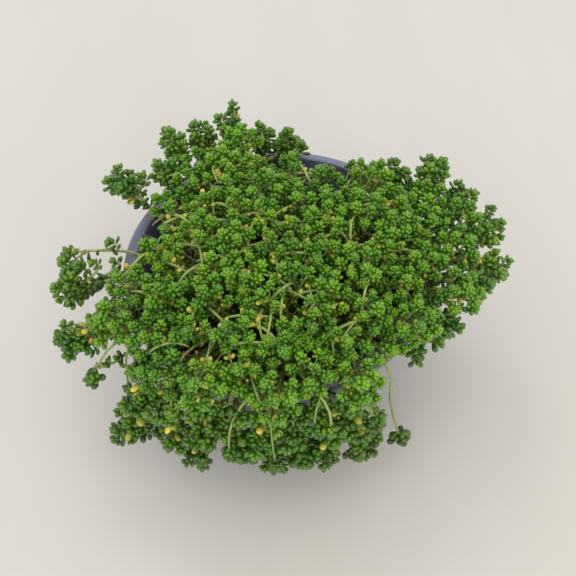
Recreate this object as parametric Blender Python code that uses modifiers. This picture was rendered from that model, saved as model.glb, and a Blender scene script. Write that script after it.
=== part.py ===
"""Potted sedum: a shallow nursery pan of soil, and a bead-leaved sedum that spills over its lip.

Metres, +Z up. The origin is the centre of the pot's flat base. The front of the pot faces -Y.
Each upright spray of the mat and each shoot that trails over the lip is one solid, and stands in its own
hole in the soil.
"""

import math
import random

import bmesh
import bpy
from mathutils import Matrix, Vector
from mathutils.geometry import intersect_point_line

MM = 0.001
UP = Vector((0, 0, 1))
GOLDEN_ANGLE = math.pi * (3 - math.sqrt(5))

# Pot: a tapered pan with a broad lip that slopes a little outwards
POT_HEIGHT = 60 * MM
LIP_RADIUS = 60 * MM
LIP_WIDTH = 5.2 * MM
LIP_SLOPE = 1.2 * MM
LIP_ROUND = 0.9 * MM
LIP_SKIRT = 3.4 * MM
BASE_RADIUS = 40 * MM
BASE_ROUND = 1 * MM
WALL = 1.4 * MM
FLOOR_THICKNESS = 1.8 * MM
POT_SIDES = 36

# Drainage holes in the pot's base
DRAIN_COUNT = 6
DRAIN_RADIUS = 3.5 * MM
DRAIN_CIRCLE = 28 * MM
DRAIN_SIDES = 10

# Soil: fills the pot to below the lip, and is a little higher in the middle
SOIL_EDGE = 49 * MM
SOIL_MOUND = 2.5 * MM
SOIL_RINGS = (0, 0.35, 0.7, 1)
CLEARANCE = 0.35 * MM

# Stems, and the holes that they stand in
STEM_RADIUS = 0.85 * MM
ROOT_DEPTH = 9 * MM
HOLE_SIDES = 5

# Rosettes: rows of bead leaves raised from a small core, larger than life so that few cover what many do.
# Each grows until it meets its neighbours halfway.
ROSETTE_SIDES = 10
LEAF_ROWS = 4
LEAF_ROW_STEP = math.radians(23)
LEAF_VALLEY = 0.78
LEAF_RISE = math.radians(5)
BUD_REACH = 0.86
FOOT_REACH = 0.45
ROSETTE_NEAR = 22 * MM

# Mat: rosettes in a sunflower spiral over a low mound, pushed apart, several to each spray
MAT_COUNT = 90
MAT_RADIUS = 72 * MM
MAT_EDGE = 65 * MM
MAT_EDGE_HEIGHT = 7 * MM
MAT_MOUND = 13 * MM
MAT_ROSETTE = 11 * MM
MAT_LIFT = 2 * MM
MAT_SPACING = 15.5 * MM
MAT_PUSHES = 120
MAT_PUSH = 0.2
MAT_SPRAYS = 21
MAT_STEM_RADIUS = 42 * MM
MAT_TURN = math.radians(34)
MAT_GATHER = 0.78
MAT_FORK_HEIGHT = 0.5 * MM
MAT_FORK_STEP = 2.4 * MM
MAT_UPRIGHT = 1.2
MAT_SEED = 14
SHOOT_SEED = 12

# Single leaves along the bare stretches of the trailing stems
LEAF_LENGTH = 5 * MM
LEAF_WIDTH = 3.2 * MM
LEAF_SUNK = 0.9 * MM
LEAF_PITCH = 8 * MM
LEAF_TURN = math.radians(138)
LEAF_SPREAD = 1.8
LEAF_LEAN = 0.6

# The mat stops short of the lip where the lip shows, and stands over it at the front and at the right:
# from, to (degrees), how far from the axis its rosettes may stand there, and how much lower they are there.
# Elsewhere MAT_EDGE holds, and they aren't lowered
MAT_ARCS = (
    (0, 24, 71 * MM, 0),
    (24, 44, 47 * MM, 3 * MM),
    (44, 90, 30 * MM, 6 * MM),
    (146, 200, 43 * MM, 0),
    (200, 292, 69 * MM, 0),
    (292, 308, 50 * MM, 0),
    (308, 330, 62 * MM, 0),
    (330, 344, 69 * MM, 0),
    (344, 360, 71 * MM, 0),
)

# Shoots that trail over the lip. Each has its direction in degrees from +X, its tip's reach from the pot's
# axis and height above the lip in mm, and the number of rosettes that it carries
TRAILS = (
    ("right_back", (33, 60, 4, 1), (25, 70, 11, 1), (15, 75, 5, 1)),
    ("right", (4, 82, 2, 1), (-6, 82, -3, 1), (-15, 75, 1, 1), (-28, 67, -6, 2), (-43, 65, -9, 1)),
    ("front_right", (-55.5, 70, -43, 1), (-68, 69, -34, 2), (-78, 68, -30, 2)),
    ("front", (-88, 68, -29, 2), (-97, 68, -32, 2), (-107, 68, -28, 2)),
    ("front_left", (-117, 71, -34, 3), (-127, 72, -28, 2), (-137, 78, -29, 3), (-149, 83, -12, 1)),
    ("left", (-157, 83, -1, 2), (-173, 80, 0, 1), (174, 82, 0, 1)),
    ("left_back", (152, 68, 14, 1), (138, 58, 11, 1), (128, 66, 14, 1)),
    ("back", (117, 64, 13, 1), (105, 65, 13, 1), (94, 61, 7, 1), (84, 56, 7, 1)),
)
TRAIL_ROOT = 46 * MM
TRAIL_OVER_LIP = 1.7 * MM
TRAIL_BEND = 65.5 * MM
TRAIL_BEND_DROP = 4.5 * MM
TRAIL_ROSETTE = 8.5 * MM
TRAIL_PITCH = 15.5 * MM
TRAIL_SWAY = 2.5 * MM
TRAIL_SHIFT = 1 * MM
HANGING_DROP = 14 * MM
TRAIL_SEED = 5


def plain_material(name, colour, roughness, metallic=0.0):
    """Makes a Principled material with one colour."""
    material = bpy.data.materials.new(name)
    material.use_nodes = True
    shader = material.node_tree.nodes["Principled BSDF"]
    shader.inputs["Base Color"].default_value = (*colour, 1)
    shader.inputs["Roughness"].default_value = roughness
    shader.inputs["Metallic"].default_value = metallic
    return material


def new_collection(name):
    """Makes a collection in the scene."""
    collection = bpy.data.collections.new(name)
    bpy.context.scene.collection.children.link(collection)
    return collection


def mesh_object(name, bm, collection, material=None):
    """Turns a bmesh into an object in a collection."""
    mesh = bpy.data.meshes.new(name)
    bm.to_mesh(mesh)
    bm.free()
    return linked_object(name, mesh, collection, material)


def linked_object(name, mesh, collection, material=None):
    """Makes an object of a mesh, gives it its material and links it."""
    thing = bpy.data.objects.new(name, mesh)
    if material:
        mesh.materials.clear()
        mesh.materials.append(material)
    collection.objects.link(thing)
    return thing


def evaluated_mesh(thing):
    """Gives a new mesh of an object with its modifiers or its curve worked out."""
    depsgraph = bpy.context.evaluated_depsgraph_get()
    depsgraph.update()
    return bpy.data.meshes.new_from_object(thing.evaluated_get(depsgraph))


def turned_object(name, profile, sides, collection, material):
    """Turns a profile of (radius, height) points into a solid round Z."""
    bm = bmesh.new()
    points = [bm.verts.new((radius, 0, height)) for radius, height in profile]
    for upper, lower in zip(points, points[1:]):
        bm.edges.new((upper, lower))
    thing = mesh_object(name, bm, collection, material)
    screw = thing.modifiers.new("Turn", "SCREW")
    screw.steps = sides
    screw.render_steps = sides
    screw.use_smooth_shade = True
    screw.use_merge_vertices = True
    screw.merge_threshold = 0.01 * MM
    return thing


def cut(thing, cutter):
    """Cuts one object out of another with a live Boolean."""
    cutter.hide_render = True
    cutter.display_type = "WIRE"
    difference = thing.modifiers.new("Cut", "BOOLEAN")
    difference.operation = "DIFFERENCE"
    difference.object = cutter


def upright_cutter(name, places, radius, low, high, sides, cutters):
    """Makes one cutter of upright prisms, one at each (x, y) place."""
    bm = bmesh.new()
    for x, y in places:
        middle = Matrix.Translation((x, y, (low + high) / 2))
        bmesh.ops.create_cone(bm, cap_ends=True, segments=sides, radius1=radius, radius2=radius,
                              depth=high - low, matrix=middle)
    return mesh_object(name, bm, cutters)


def wall_inner_radius(height):
    """Gives the radius of the pot's inner wall at a height."""
    neck_radius = LIP_RADIUS - LIP_WIDTH
    return BASE_RADIUS - WALL + (neck_radius - BASE_RADIUS + WALL) * height / POT_HEIGHT


def make_pot(collection, cutters):
    """Makes the pan: inner floor, inner wall, lip, skirt, outer wall and base."""
    neck = LIP_RADIUS - LIP_WIDTH
    skirt_foot = POT_HEIGHT - LIP_SLOPE - LIP_SKIRT
    under_lip = POT_HEIGHT - LIP_SLOPE - WALL
    profile = (
        (0, FLOOR_THICKNESS),
        (wall_inner_radius(FLOOR_THICKNESS), FLOOR_THICKNESS),
        (neck, POT_HEIGHT - LIP_ROUND),
        (neck + LIP_ROUND, POT_HEIGHT),
        (neck + LIP_WIDTH / 2, POT_HEIGHT - LIP_SLOPE / 6),
        (LIP_RADIUS - LIP_ROUND, POT_HEIGHT - LIP_SLOPE / 2),
        (LIP_RADIUS, POT_HEIGHT - LIP_SLOPE - LIP_ROUND / 2),
        (LIP_RADIUS, skirt_foot),
        (LIP_RADIUS - WALL, skirt_foot),
        (LIP_RADIUS - WALL, under_lip),
        (neck + WALL, under_lip),
        (BASE_RADIUS, BASE_ROUND),
        (BASE_RADIUS - BASE_ROUND, 0),
        (0, 0),
    )
    plastic = plain_material("Bluish grey plastic", (0.045, 0.052, 0.075), 0.42)
    pot = turned_object("pot", profile, POT_SIDES, collection, plastic)
    angles = [math.tau * (turn + 0.5) / DRAIN_COUNT for turn in range(DRAIN_COUNT)]
    places = [(DRAIN_CIRCLE * math.cos(a), DRAIN_CIRCLE * math.sin(a)) for a in angles]
    drains = upright_cutter("drain_cutter", places, DRAIN_RADIUS, -WALL, FLOOR_THICKNESS + WALL,
                            DRAIN_SIDES, cutters)
    cut(pot, drains)


def soil_height(radius):
    """Gives the height of the soil's surface at a radius."""
    rim = wall_inner_radius(SOIL_EDGE)
    return SOIL_EDGE + SOIL_MOUND * (1 - (radius / rim) ** 2)


def make_soil(stem_places, collection, cutters):
    """Makes the soil with a plain hole for each stem."""
    floor = FLOOR_THICKNESS + CLEARANCE
    rim = wall_inner_radius(SOIL_EDGE) - CLEARANCE
    profile = [(rim * share, soil_height(rim * share)) for share in SOIL_RINGS]
    profile += [(wall_inner_radius(floor) - CLEARANCE, floor), (0, floor)]
    earth = plain_material("Dark potting soil", (0.03, 0.022, 0.016), 0.95)
    soil = turned_object("soil", profile, POT_SIDES, collection, earth)
    hole_radius = (STEM_RADIUS + CLEARANCE) / math.cos(math.pi / HOLE_SIDES)
    holes = upright_cutter("stem_hole_cutter", stem_places, hole_radius, root_height() - CLEARANCE,
                           POT_HEIGHT, HOLE_SIDES, cutters)
    cut(soil, holes)


def root_height():
    """Gives the height at which every stem ends in the soil."""
    return SOIL_EDGE - ROOT_DEPTH


def polar(radius, angle, height=0):
    """Gives the point at a radius, an angle in radians round the pot's axis and a height."""
    return Vector((radius * math.cos(angle), radius * math.sin(angle), height))


def sunflower(count, total, radius, turn=0):
    """Gives one place of a sunflower spiral: an even spread of places over a disc."""
    return polar(radius * math.sqrt((count + 0.5) / total), turn + count * GOLDEN_ANGLE)


def clear_reach(centre, direction, size, rivals):
    """Gives how far a rosette may reach in a direction without passing halfway to a rival's centre."""
    reach = size
    for rival in rivals:
        apart = rival - centre
        towards = direction.dot(apart) / apart.length
        if towards > 0:
            reach = min(reach, (apart.length - CLEARANCE) / 2 / towards)
    return reach


def mirrored_in_lip(place):
    """Gives a place's mirror image in the lip's side or in its top, whichever leaves it more room."""
    radius = place.xy.length
    if radius - LIP_RADIUS > place.z - POT_HEIGHT:
        return place + place.xy.to_3d() * 2 * (LIP_RADIUS / radius - 1)
    return place + UP * 2 * (POT_HEIGHT - place.z)


def nearest_on(line, place):
    """Gives the point on a line of points that is nearest to a place."""
    spots = []
    for start, end in zip(line, line[1:]):
        share = intersect_point_line(place, start, end)[1]
        spots.append(start.lerp(end, max(0, min(1, share))))
    return min(spots, key=lambda spot: (spot - place).length)


def mirrored_in_stem(place, line):
    """Gives a place's mirror image in the near side of a stem."""
    apart = nearest_on(line, place) - place
    return place + apart * 2 * (1 - STEM_RADIUS / apart.length)


def make_rosette(centre, axis, turn, size, places, lines, collection):
    """Makes one rosette: leaf tips raised in staggered rows over a dome, with a plain foot below.

    It stops halfway to the rosettes at the other places, and at the other stems' lines.
    """
    rivals = [place for place in places if place != centre]
    rivals += [mirrored_in_stem(centre, line) for line in lines]
    rivals = [place for place in rivals if (place - centre).length < ROSETTE_NEAR]
    rivals.append(mirrored_in_lip(centre))
    bm = bmesh.new()
    bmesh.ops.create_uvsphere(bm, u_segments=ROSETTE_SIDES, v_segments=LEAF_ROWS + 1, radius=1)
    upright = axis.to_track_quat("Z", "Y").to_matrix() @ Matrix.Rotation(turn, 3, "Z")
    for vertex in bm.verts:
        row = round(math.acos(max(-1, min(1, vertex.co.z))) / math.pi * (LEAF_ROWS + 1))
        side = math.atan2(vertex.co.y, vertex.co.x)
        slope = row * LEAF_ROW_STEP
        share = LEAF_VALLEY
        if row == 0:
            share = BUD_REACH
        elif row > LEAF_ROWS:
            slope = math.pi
            share = FOOT_REACH
        elif (row + round(side / math.tau * ROSETTE_SIDES)) % 2 == 0:
            slope -= LEAF_RISE
            share = 1
        direction = upright @ polar(math.sin(slope), side, math.cos(slope))
        vertex.co = centre + direction * share * clear_reach(centre, direction, size, rivals)
    bmesh.ops.triangulate(bm, faces=bm.faces, quad_method="SHORT_EDGE")
    return mesh_object("rosette", bm, collection)


def make_leaf(base, direction, collection):
    """Makes one bead leaf whose root is sunk in a stem."""
    bm = bmesh.new()
    size = Matrix.Diagonal((LEAF_WIDTH / 2, LEAF_WIDTH / 2, LEAF_LENGTH / 2, 1))
    lifted = Matrix.Translation((0, 0, LEAF_LENGTH / 2 - LEAF_SUNK))
    aim = direction.to_track_quat("Z", "Y").to_matrix().to_4x4()
    place = Matrix.Translation(base) @ aim @ lifted @ size
    bmesh.ops.create_icosphere(bm, subdivisions=1, radius=1, matrix=place)
    return mesh_object("leaf", bm, collection)


def make_stem(points, collection):
    """Makes a square-sided tube along some points."""
    curve = bpy.data.curves.new("stem", "CURVE")
    curve.dimensions = "3D"
    curve.bevel_depth = STEM_RADIUS
    curve.bevel_resolution = 0
    curve.use_fill_caps = True
    spline = curve.splines.new("POLY")
    spline.points.add(len(points) - 1)
    for spot, point in zip(spline.points, points):
        spot.co = (*point, 1)
    thing = linked_object("stem", curve, collection)
    mesh = evaluated_mesh(thing)
    bm = bmesh.new()
    bm.from_mesh(mesh)
    bpy.data.objects.remove(thing)
    bpy.data.meshes.remove(mesh)
    bmesh.ops.remove_doubles(bm, verts=bm.verts, dist=0.001 * MM)
    return mesh_object("stem", bm, collection)


def fuse(name, loose, collection, material):
    """Joins every object of a loose collection into one solid, and removes them."""
    base, *rest = loose.objects
    loose.objects.unlink(base)
    bpy.context.scene.collection.objects.link(base)
    union = base.modifiers.new("Join", "BOOLEAN")
    union.operation = "UNION"
    union.operand_type = "COLLECTION"
    union.collection = loose
    mesh = evaluated_mesh(base)
    for thing in [base, *rest]:
        bpy.data.objects.remove(thing)
    bpy.data.collections.remove(loose)
    return linked_object(name, mesh, collection, material)


def trail_curve(angle, reach, tip_height, sway):
    """Gives the points of a trailing stem, from its root over the lip to its tip."""
    over_lip = POT_HEIGHT + TRAIL_OVER_LIP
    points = [
        polar(TRAIL_ROOT, angle, root_height()),
        polar(TRAIL_ROOT, angle, SOIL_EDGE + SOIL_MOUND),
        polar(LIP_RADIUS - LIP_WIDTH, angle, over_lip),
    ]
    if tip_height > POT_HEIGHT - HANGING_DROP:
        rise = max(0, tip_height - over_lip) / 3
        points.append(polar((LIP_RADIUS + reach) / 2, angle, over_lip + rise))
        points.append(polar(reach, angle, tip_height))
        return points
    points.append(polar(LIP_RADIUS + TRAIL_OVER_LIP, angle, over_lip))
    bend_height = over_lip - TRAIL_BEND_DROP
    points.append(polar(TRAIL_BEND, angle, bend_height))
    steps = max(2, round((POT_HEIGHT - tip_height) / TRAIL_PITCH))
    for step in range(1, steps + 1):
        share = step / steps
        outwards = TRAIL_BEND + (reach - TRAIL_BEND) * math.sin(share * math.pi / 2)
        sideways = sway * math.sin(share * math.pi * 1.5) / outwards
        points.append(polar(outwards, angle + sideways, bend_height + (tip_height - bend_height) * share))
    return points


def along(points, distance_back):
    """Gives the point and direction at a distance back from the end of a line of points."""
    left = distance_back
    for end, start in zip(points[::-1], points[-2::-1]):
        run = (end - start).length
        if left <= run:
            return end.lerp(start, left / run), (end - start).normalized()
        left -= run
    return points[0], (points[1] - points[0]).normalized()


def plan_trails():
    """Plans the shoots that cross the lip: each one's name, stem lines, and rosettes with their axes."""
    draw = random.Random(TRAIL_SEED)
    plans = []
    for side, *shoots in TRAILS:
        for number, (degrees, reach, height, count) in enumerate(shoots, 1):
            angle = math.radians(degrees)
            sway = TRAIL_SWAY * draw.choice((-1, 1))
            line = trail_curve(angle, reach * MM, POT_HEIGHT + height * MM, sway)
            outwards = polar(1, angle)
            rosettes = []
            for index in range(count):
                centre, direction = along(line, index * TRAIL_PITCH)
                aside = polar(1, angle + math.pi / 2) * draw.uniform(-1, 1) * TRAIL_SHIFT
                away = outwards * draw.uniform(0.5, 2.5) * TRAIL_SHIFT
                if index:
                    centre = centre + aside + away
                axis = (direction * 0.5 + outwards * 0.6 + UP * 0.7).normalized()
                rosettes.append((centre, axis))
            plans.append((f"trailing_shoot_{side}_{number}", [line], rosettes))
    return plans


def bare_leaves(points, rosette_count):
    """Gives the place and direction of each leaf on a stem's bare stretch outside the lip."""
    distance = (rosette_count - 1) * TRAIL_PITCH + TRAIL_ROSETTE + LEAF_PITCH / 2
    turn = 0
    leaves = []
    place, direction = along(points, distance)
    while place.xy.length > LIP_RADIUS + LEAF_LENGTH:
        outwards = place.xy.to_3d().normalized()
        aside = direction.cross(outwards).normalized() * math.sin(turn)
        leaves.append((place, (outwards + aside * LEAF_SPREAD + direction * LEAF_LEAN).normalized()))
        distance += LEAF_PITCH
        turn += LEAF_TURN
        place, direction = along(points, distance)
    return leaves


def mat_room(place):
    """Gives how far from the axis a mat rosette may stand in its direction, and how much lower it is there."""
    angle = math.degrees(math.atan2(place.y, place.x)) % 360
    for start, end, limit, dip in MAT_ARCS:
        if start < angle < end:
            return limit, dip
    return MAT_EDGE, 0


def mat_places(trail_places):
    """Gives the centres of the mat's rosettes: a spiral, pushed apart and off the trailing ones."""
    draw = random.Random(MAT_SEED)
    places = []
    for count in range(MAT_COUNT):
        place = sunflower(count, MAT_COUNT, MAT_RADIUS)
        mound = MAT_MOUND * (1 - (place.length / MAT_RADIUS) ** 2)
        lift = draw.uniform(-1, 1) * MAT_LIFT
        limit, dip = mat_room(place)
        if place.length < limit:
            place.z = POT_HEIGHT + MAT_EDGE_HEIGHT + mound + lift - dip
            places.append(place)
    for _ in range(MAT_PUSHES):
        for place in places:
            push_apart(place, places + trail_places)
            limit = mat_room(place)[0]
            if place.xy.length > limit:
                place.xy = place.xy * (limit / place.xy.length)
    return places


def push_apart(place, neighbours):
    """Moves a place sideways, away from each neighbour that is too near."""
    for neighbour in neighbours:
        apart = place - neighbour
        if 0 < apart.length < MAT_SPACING:
            place += apart.xy.to_3d() * MAT_PUSH * (MAT_SPACING / apart.length - 1)


def plan_mat(trails):
    """Plans the upright sprays in the middle of the pot, as plan_trails does for the trailing shoots."""
    places = mat_places([place for _, _, rosettes in trails for place, _ in rosettes])
    roots = [sunflower(count, MAT_SPRAYS, MAT_STEM_RADIUS, MAT_TURN) for count in range(MAT_SPRAYS)]
    groups = [[] for _ in roots]
    for place in sorted(places, key=lambda place: -place.xy.length):
        gaps = [(root.xy - place.xy * MAT_GATHER).length for root in roots]
        groups[gaps.index(min(gaps))].append(place)
    plans = []
    for root, group in zip(roots, groups):
        foot = root + UP * root_height()
        fork = root + UP * (POT_HEIGHT + MAT_FORK_HEIGHT)
        lines = []
        rosettes = []
        for number, place in enumerate(group):
            lower = fork - UP * number * MAT_FORK_STEP
            lines.append([lower, place] if number else [foot, fork, place])
            rosettes.append((place, ((place - fork).normalized() + UP * MAT_UPRIGHT).normalized()))
        if group:
            plans.append((f"mat_spray_{len(plans) + 1:02d}", lines, rosettes))
    return plans


def make_shoots(plans, everything, size, collection, green):
    """Makes the planned shoots of one kind, each as one solid that stays clear of everything else planned."""
    draw = random.Random(SHOOT_SEED)
    places = [place for _, _, rosettes in everything for place, _ in rosettes]
    for name, lines, rosettes in plans:
        others = [line for other, its_lines, _ in everything if other != name for line in its_lines]
        loose = new_collection("Loose pieces")
        for line in lines:
            make_stem(line, loose)
        for place, axis in rosettes:
            make_rosette(place, axis, draw.uniform(0, math.tau), size, places, others, loose)
        for place, direction in bare_leaves(lines[0], len(rosettes)):
            make_leaf(place, direction, loose)
        fuse(name, loose, collection, green)


def main():
    """Builds the whole object."""
    for thing in list(bpy.data.objects):
        bpy.data.objects.remove(thing)
    collection = new_collection("Potted sedum")
    cutters = new_collection("Cutters")
    fresh_green = plain_material("Fresh green leaves", (0.12, 0.30, 0.04), 0.35)
    deep_green = plain_material("Deeper green leaves", (0.07, 0.21, 0.04), 0.38)
    make_pot(collection, cutters)
    trails = plan_trails()
    mat = plan_mat(trails)
    make_shoots(mat, mat + trails, MAT_ROSETTE, collection, fresh_green)
    make_shoots(trails, mat + trails, TRAIL_ROSETTE, collection, deep_green)
    feet = [lines[0][0] for _, lines, _ in mat + trails]
    make_soil([(foot.x, foot.y) for foot in feet], collection, cutters)


main()
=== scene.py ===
"""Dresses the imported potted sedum: true-size leaves on every spray and shoot, a moulded pan and loose soil.

Metres, +Z up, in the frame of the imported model. Every spray and shoot keeps the place of its solid: the
same sizes and seeded draws give the same heads of foliage, and each head's space is filled with real tips.
"""

import logging
import math
import random
from collections.abc import Iterable, Sequence
from dataclasses import dataclass, field, replace
from enum import Enum

import bmesh
import bpy
from mathutils import Matrix, Vector, noise
from mathutils.kdtree import KDTree

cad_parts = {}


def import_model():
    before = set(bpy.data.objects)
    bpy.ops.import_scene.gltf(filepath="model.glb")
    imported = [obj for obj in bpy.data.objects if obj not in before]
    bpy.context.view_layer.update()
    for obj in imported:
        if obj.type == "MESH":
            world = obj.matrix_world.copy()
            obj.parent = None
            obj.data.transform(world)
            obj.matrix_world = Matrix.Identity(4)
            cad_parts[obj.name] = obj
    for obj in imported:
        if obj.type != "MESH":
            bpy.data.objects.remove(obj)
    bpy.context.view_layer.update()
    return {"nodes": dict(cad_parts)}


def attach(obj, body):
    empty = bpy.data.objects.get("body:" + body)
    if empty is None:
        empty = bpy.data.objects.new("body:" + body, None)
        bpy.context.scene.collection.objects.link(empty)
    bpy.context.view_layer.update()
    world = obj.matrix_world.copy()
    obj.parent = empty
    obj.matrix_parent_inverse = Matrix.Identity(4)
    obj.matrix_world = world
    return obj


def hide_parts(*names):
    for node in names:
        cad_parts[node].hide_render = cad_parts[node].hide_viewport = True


MM = 0.001
UP = Vector((0.0, 0.0, 1.0))
GOLDEN_ANGLE = math.pi * (3 - math.sqrt(5))
BODY = "root"
LOG = logging.getLogger("potted_sedum")

Triple = tuple[float, float, float]
Span = tuple[float, float]


def polar(radius: float, angle: float, height: float = 0.0) -> Vector:
    """Gives the point at a radius, an angle in radians round the pot's axis and a height."""
    return Vector((radius * math.cos(angle), radius * math.sin(angle), height))


def sunflower(count: int, total: int, radius: float, turn: float = 0.0) -> Vector:
    """Gives one place of a sunflower spiral, an even spread of places over a disc."""
    return polar(radius * math.sqrt((count + 0.5) / total), turn + count * GOLDEN_ANGLE)


def along(points: Sequence[Vector], distance_back: float) -> tuple[Vector, Vector]:
    """Walks back along a line of points.

    Args:
        points: The line, from its root to its tip.
        distance_back: How far to walk from the tip, in metres.

    Returns:
        The place reached and the direction of the line there, towards the tip.
    """
    left = distance_back
    for end, start in zip(points[::-1], points[-2::-1]):
        run = (end - start).length
        if left <= run:
            return end.lerp(start, left / run), (end - start).normalized()
        left -= run
    return points[0], (points[1] - points[0]).normalized()


def length_of(points: Sequence[Vector]) -> float:
    """Gives the length of a line of points."""
    return sum((end - start).length for start, end in zip(points, points[1:]))


def bezier(start: Vector, leave: Vector, arrive: Vector, end: Vector, steps: int) -> list[Vector]:
    """Gives the points of a cubic curve.

    Args:
        start: The first point.
        leave: The handle of the first point.
        arrive: The handle of the last point.
        end: The last point.
        steps: How many straight runs the curve is cut into.

    Returns:
        The points, one more than the runs.
    """
    points = []
    for step in range(steps + 1):
        t = step / steps
        s = 1 - t
        points.append(start * s**3 + leave * 3 * s * s * t + arrive * 3 * s * t * t + end * t**3)
    return points


def arch(start: Vector, end: Vector, leave: Vector, arrive: Vector) -> list[Vector]:
    """Gives a curve between two places, pushed aside by one vector near its start and one near its end."""
    return bezier(start, start.lerp(end, 0.3) + leave, start.lerp(end, 0.7) + arrive, end, 8)


def stray_vector(draw: random.Random, height: float = 1.0) -> Vector:
    """Draws a vector of about unit length in any direction, flatter where its height is less than 1."""
    return Vector((draw.gauss(0, 1), draw.gauss(0, 1), draw.gauss(0, height)))


def rounded(points: Sequence[Vector], steps: int) -> list[Vector]:
    """Rounds the corners of a line of points.

    Args:
        points: The line. Its inner points become the middles of smooth bends.
        steps: How many runs each bend is cut into.

    Returns:
        The rounded line, with the same ends.
    """
    result = [points[0].copy()]
    for before, corner, after in zip(points, points[1:], points[2:]):
        start = before.lerp(corner, 0.6)
        end = corner.lerp(after, 0.4)
        result += bezier(start, start.lerp(corner, 0.7), end.lerp(corner, 0.7), end, steps)
    result.append(points[-1].copy())
    return result


class Habit(Enum):
    """How a stalk grows, as the material slot of its node in the record."""

    MAT = "mat_foliage"
    TRAILING = "trailing_foliage"


class Condition(Enum):
    """The condition of a leaf, as the wilt value that its material reads."""

    FRESH = 0.0
    TURNING = 0.18
    YELLOW = 0.4
    AMBER = 0.7
    WITHERED = 1.0


# The size of a leaf in each condition, as a share of a fresh one's.
LEAF_SIZES = {
    Condition.FRESH: 1.0,
    Condition.TURNING: 1.2,
    Condition.YELLOW: 1.05,
    Condition.AMBER: 0.9,
    Condition.WITHERED: 0.7,
}
# A leaf has the first condition whose limit times the yellowed share is above its random value.
WILT_LIMITS = {
    Condition.YELLOW: 0.4,
    Condition.AMBER: 0.5,
    Condition.WITHERED: 0.65,
    Condition.TURNING: 1.5,
}


@dataclass
class Head:
    """One head of foliage: the space of one solid rosette, which several shoot tips share."""

    centre: Vector
    axis: Vector
    size: float


@dataclass
class Stalk:
    """One packed spray or trailing shoot."""

    node: str
    habit: Habit
    line: list[Vector]
    heads: list[Head]


@dataclass(frozen=True)
class Sprig:
    """How shoot tips grow.

    Each ring has a number of tips, and the least and most degrees that they lean from their head's axis.
    """

    rings: tuple[tuple[int, float, float], ...]
    radius: float
    spacing: float
    leaves: int
    leaf_length: float
    leaf_width: float
    bud_length: float
    bud_width: float
    depth: float
    stem_leaves: int
    stem_leaf_pitch: float
    stem_leaf_tilt: tuple[float, float] = (52, 100)
    branch: tuple[float, float] = (9 * MM, 26 * MM)
    yellow_share: float = 0.036


MAT_SPRIG = Sprig(
    rings=((1, 0, 14), (3, 30, 46), (6, 62, 80)), radius=2.9 * MM, spacing=5.8 * MM, leaves=17,
    leaf_length=3.0 * MM, leaf_width=1.8 * MM, bud_length=1.6 * MM, bud_width=1.2 * MM,
    depth=2.5 * MM, stem_leaves=8, stem_leaf_pitch=2.0 * MM, yellow_share=0.068,
)
TRAILING_SPRIG = Sprig(
    rings=((1, 0, 14), (6, 44, 84)), radius=3.4 * MM, spacing=6.2 * MM, leaves=11,
    leaf_length=4.1 * MM, leaf_width=2.8 * MM, bud_length=2.1 * MM, bud_width=1.7 * MM,
    depth=3.2 * MM, stem_leaves=9, stem_leaf_pitch=1.6 * MM,
)
LONE_SPRIG = replace(
    TRAILING_SPRIG, rings=((1, 0, 10), (1, 70, 100)), radius=3.6 * MM, spacing=7 * MM,
    stem_leaves=3, stem_leaf_pitch=2.4 * MM, branch=(5 * MM, 9 * MM),
)
FOXTAIL_SPRIG = replace(
    TRAILING_SPRIG, rings=((1, 0, 14), (6, 50, 88)), radius=3.0 * MM, spacing=5.6 * MM,
    leaf_length=4.2 * MM, stem_leaves=22, stem_leaf_pitch=0.75 * MM, stem_leaf_tilt=(34, 64),
    branch=(13 * MM, 24 * MM),
)
SINGLE_SPRIG = replace(
    LONE_SPRIG, rings=((1, 0, 10),), leaves=14, leaf_length=5.0 * MM, leaf_width=3.3 * MM,
    bud_length=3.0 * MM, bud_width=2.4 * MM, depth=3.0 * MM, stem_leaves=2,
)
SPRIGS = {Habit.MAT: MAT_SPRIG, Habit.TRAILING: TRAILING_SPRIG}
OWN_SPRIGS = {
    "trailing_shoot_front_right_1": SINGLE_SPRIG,
    "trailing_shoot_left_3": LONE_SPRIG,
    "trailing_shoot_front_left_4": LONE_SPRIG,
    "trailing_shoot_right_5": LONE_SPRIG,
    "trailing_shoot_left_1": FOXTAIL_SPRIG,
    "trailing_shoot_left_2": FOXTAIL_SPRIG,
}
LONE_SHOOTS = tuple(node for node, sprig in OWN_SPRIGS.items() if sprig is not FOXTAIL_SPRIG)

# Single shoot tips between the heads: degrees round the pot's axis, reach and height above the lip in mm.
STRAYS = (
    (103, 68, 20), (127, 71, 16), (117, 68, 15), (94, 60, 13), (84, 57, 12), (77, 53, 8),
    (44, 54, 5), (37, 60, 11), (30, 71, 13), (19, 76, 9), (9, 84, 6), (-36, 68, -5),
    (-51, 59, 9), (-47, 61, 9), (-52, 61, 5), (-49, 63, 3), (-45, 64, 4), (-46, 63, 8), (-41, 66, 3),
    (-70, 67, -40), (-95, 67, -41), (-117, 72, -42), (-99, 66, 1), (-101, 66, 7), (-83, 66, -5),
    (-86, 66, 7), (-81, 66, 0), (-64, 66, 9), (-64, 67, 0), (-61, 65, 11), (-56, 64, 10),
    (-140, 84, -36), (-138, 80, -36), (-136, 75, -36), (-133, 71, -36), (-161, 86, -3), (-154, 78, -6),
    (-150, 70, -10), (-178, 75, 4), (-177, 80, 4), (-179, 70, 4), (174, 64, 6), (-179, 62, 4),
    (-163, 67, 2), (146, 63, 12), (53, 53, 6), (47, 55, 4), (-81, 53, 15), (-102, 53, 15), (-88, 49, 17),
    (-78, 53, 15), (-85, 51, 16), (-132, 28, 21), (-64, 33, 20), (-40, 26, 21), (-113, 37, 19),
    (-135, 53, 15),
)


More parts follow.
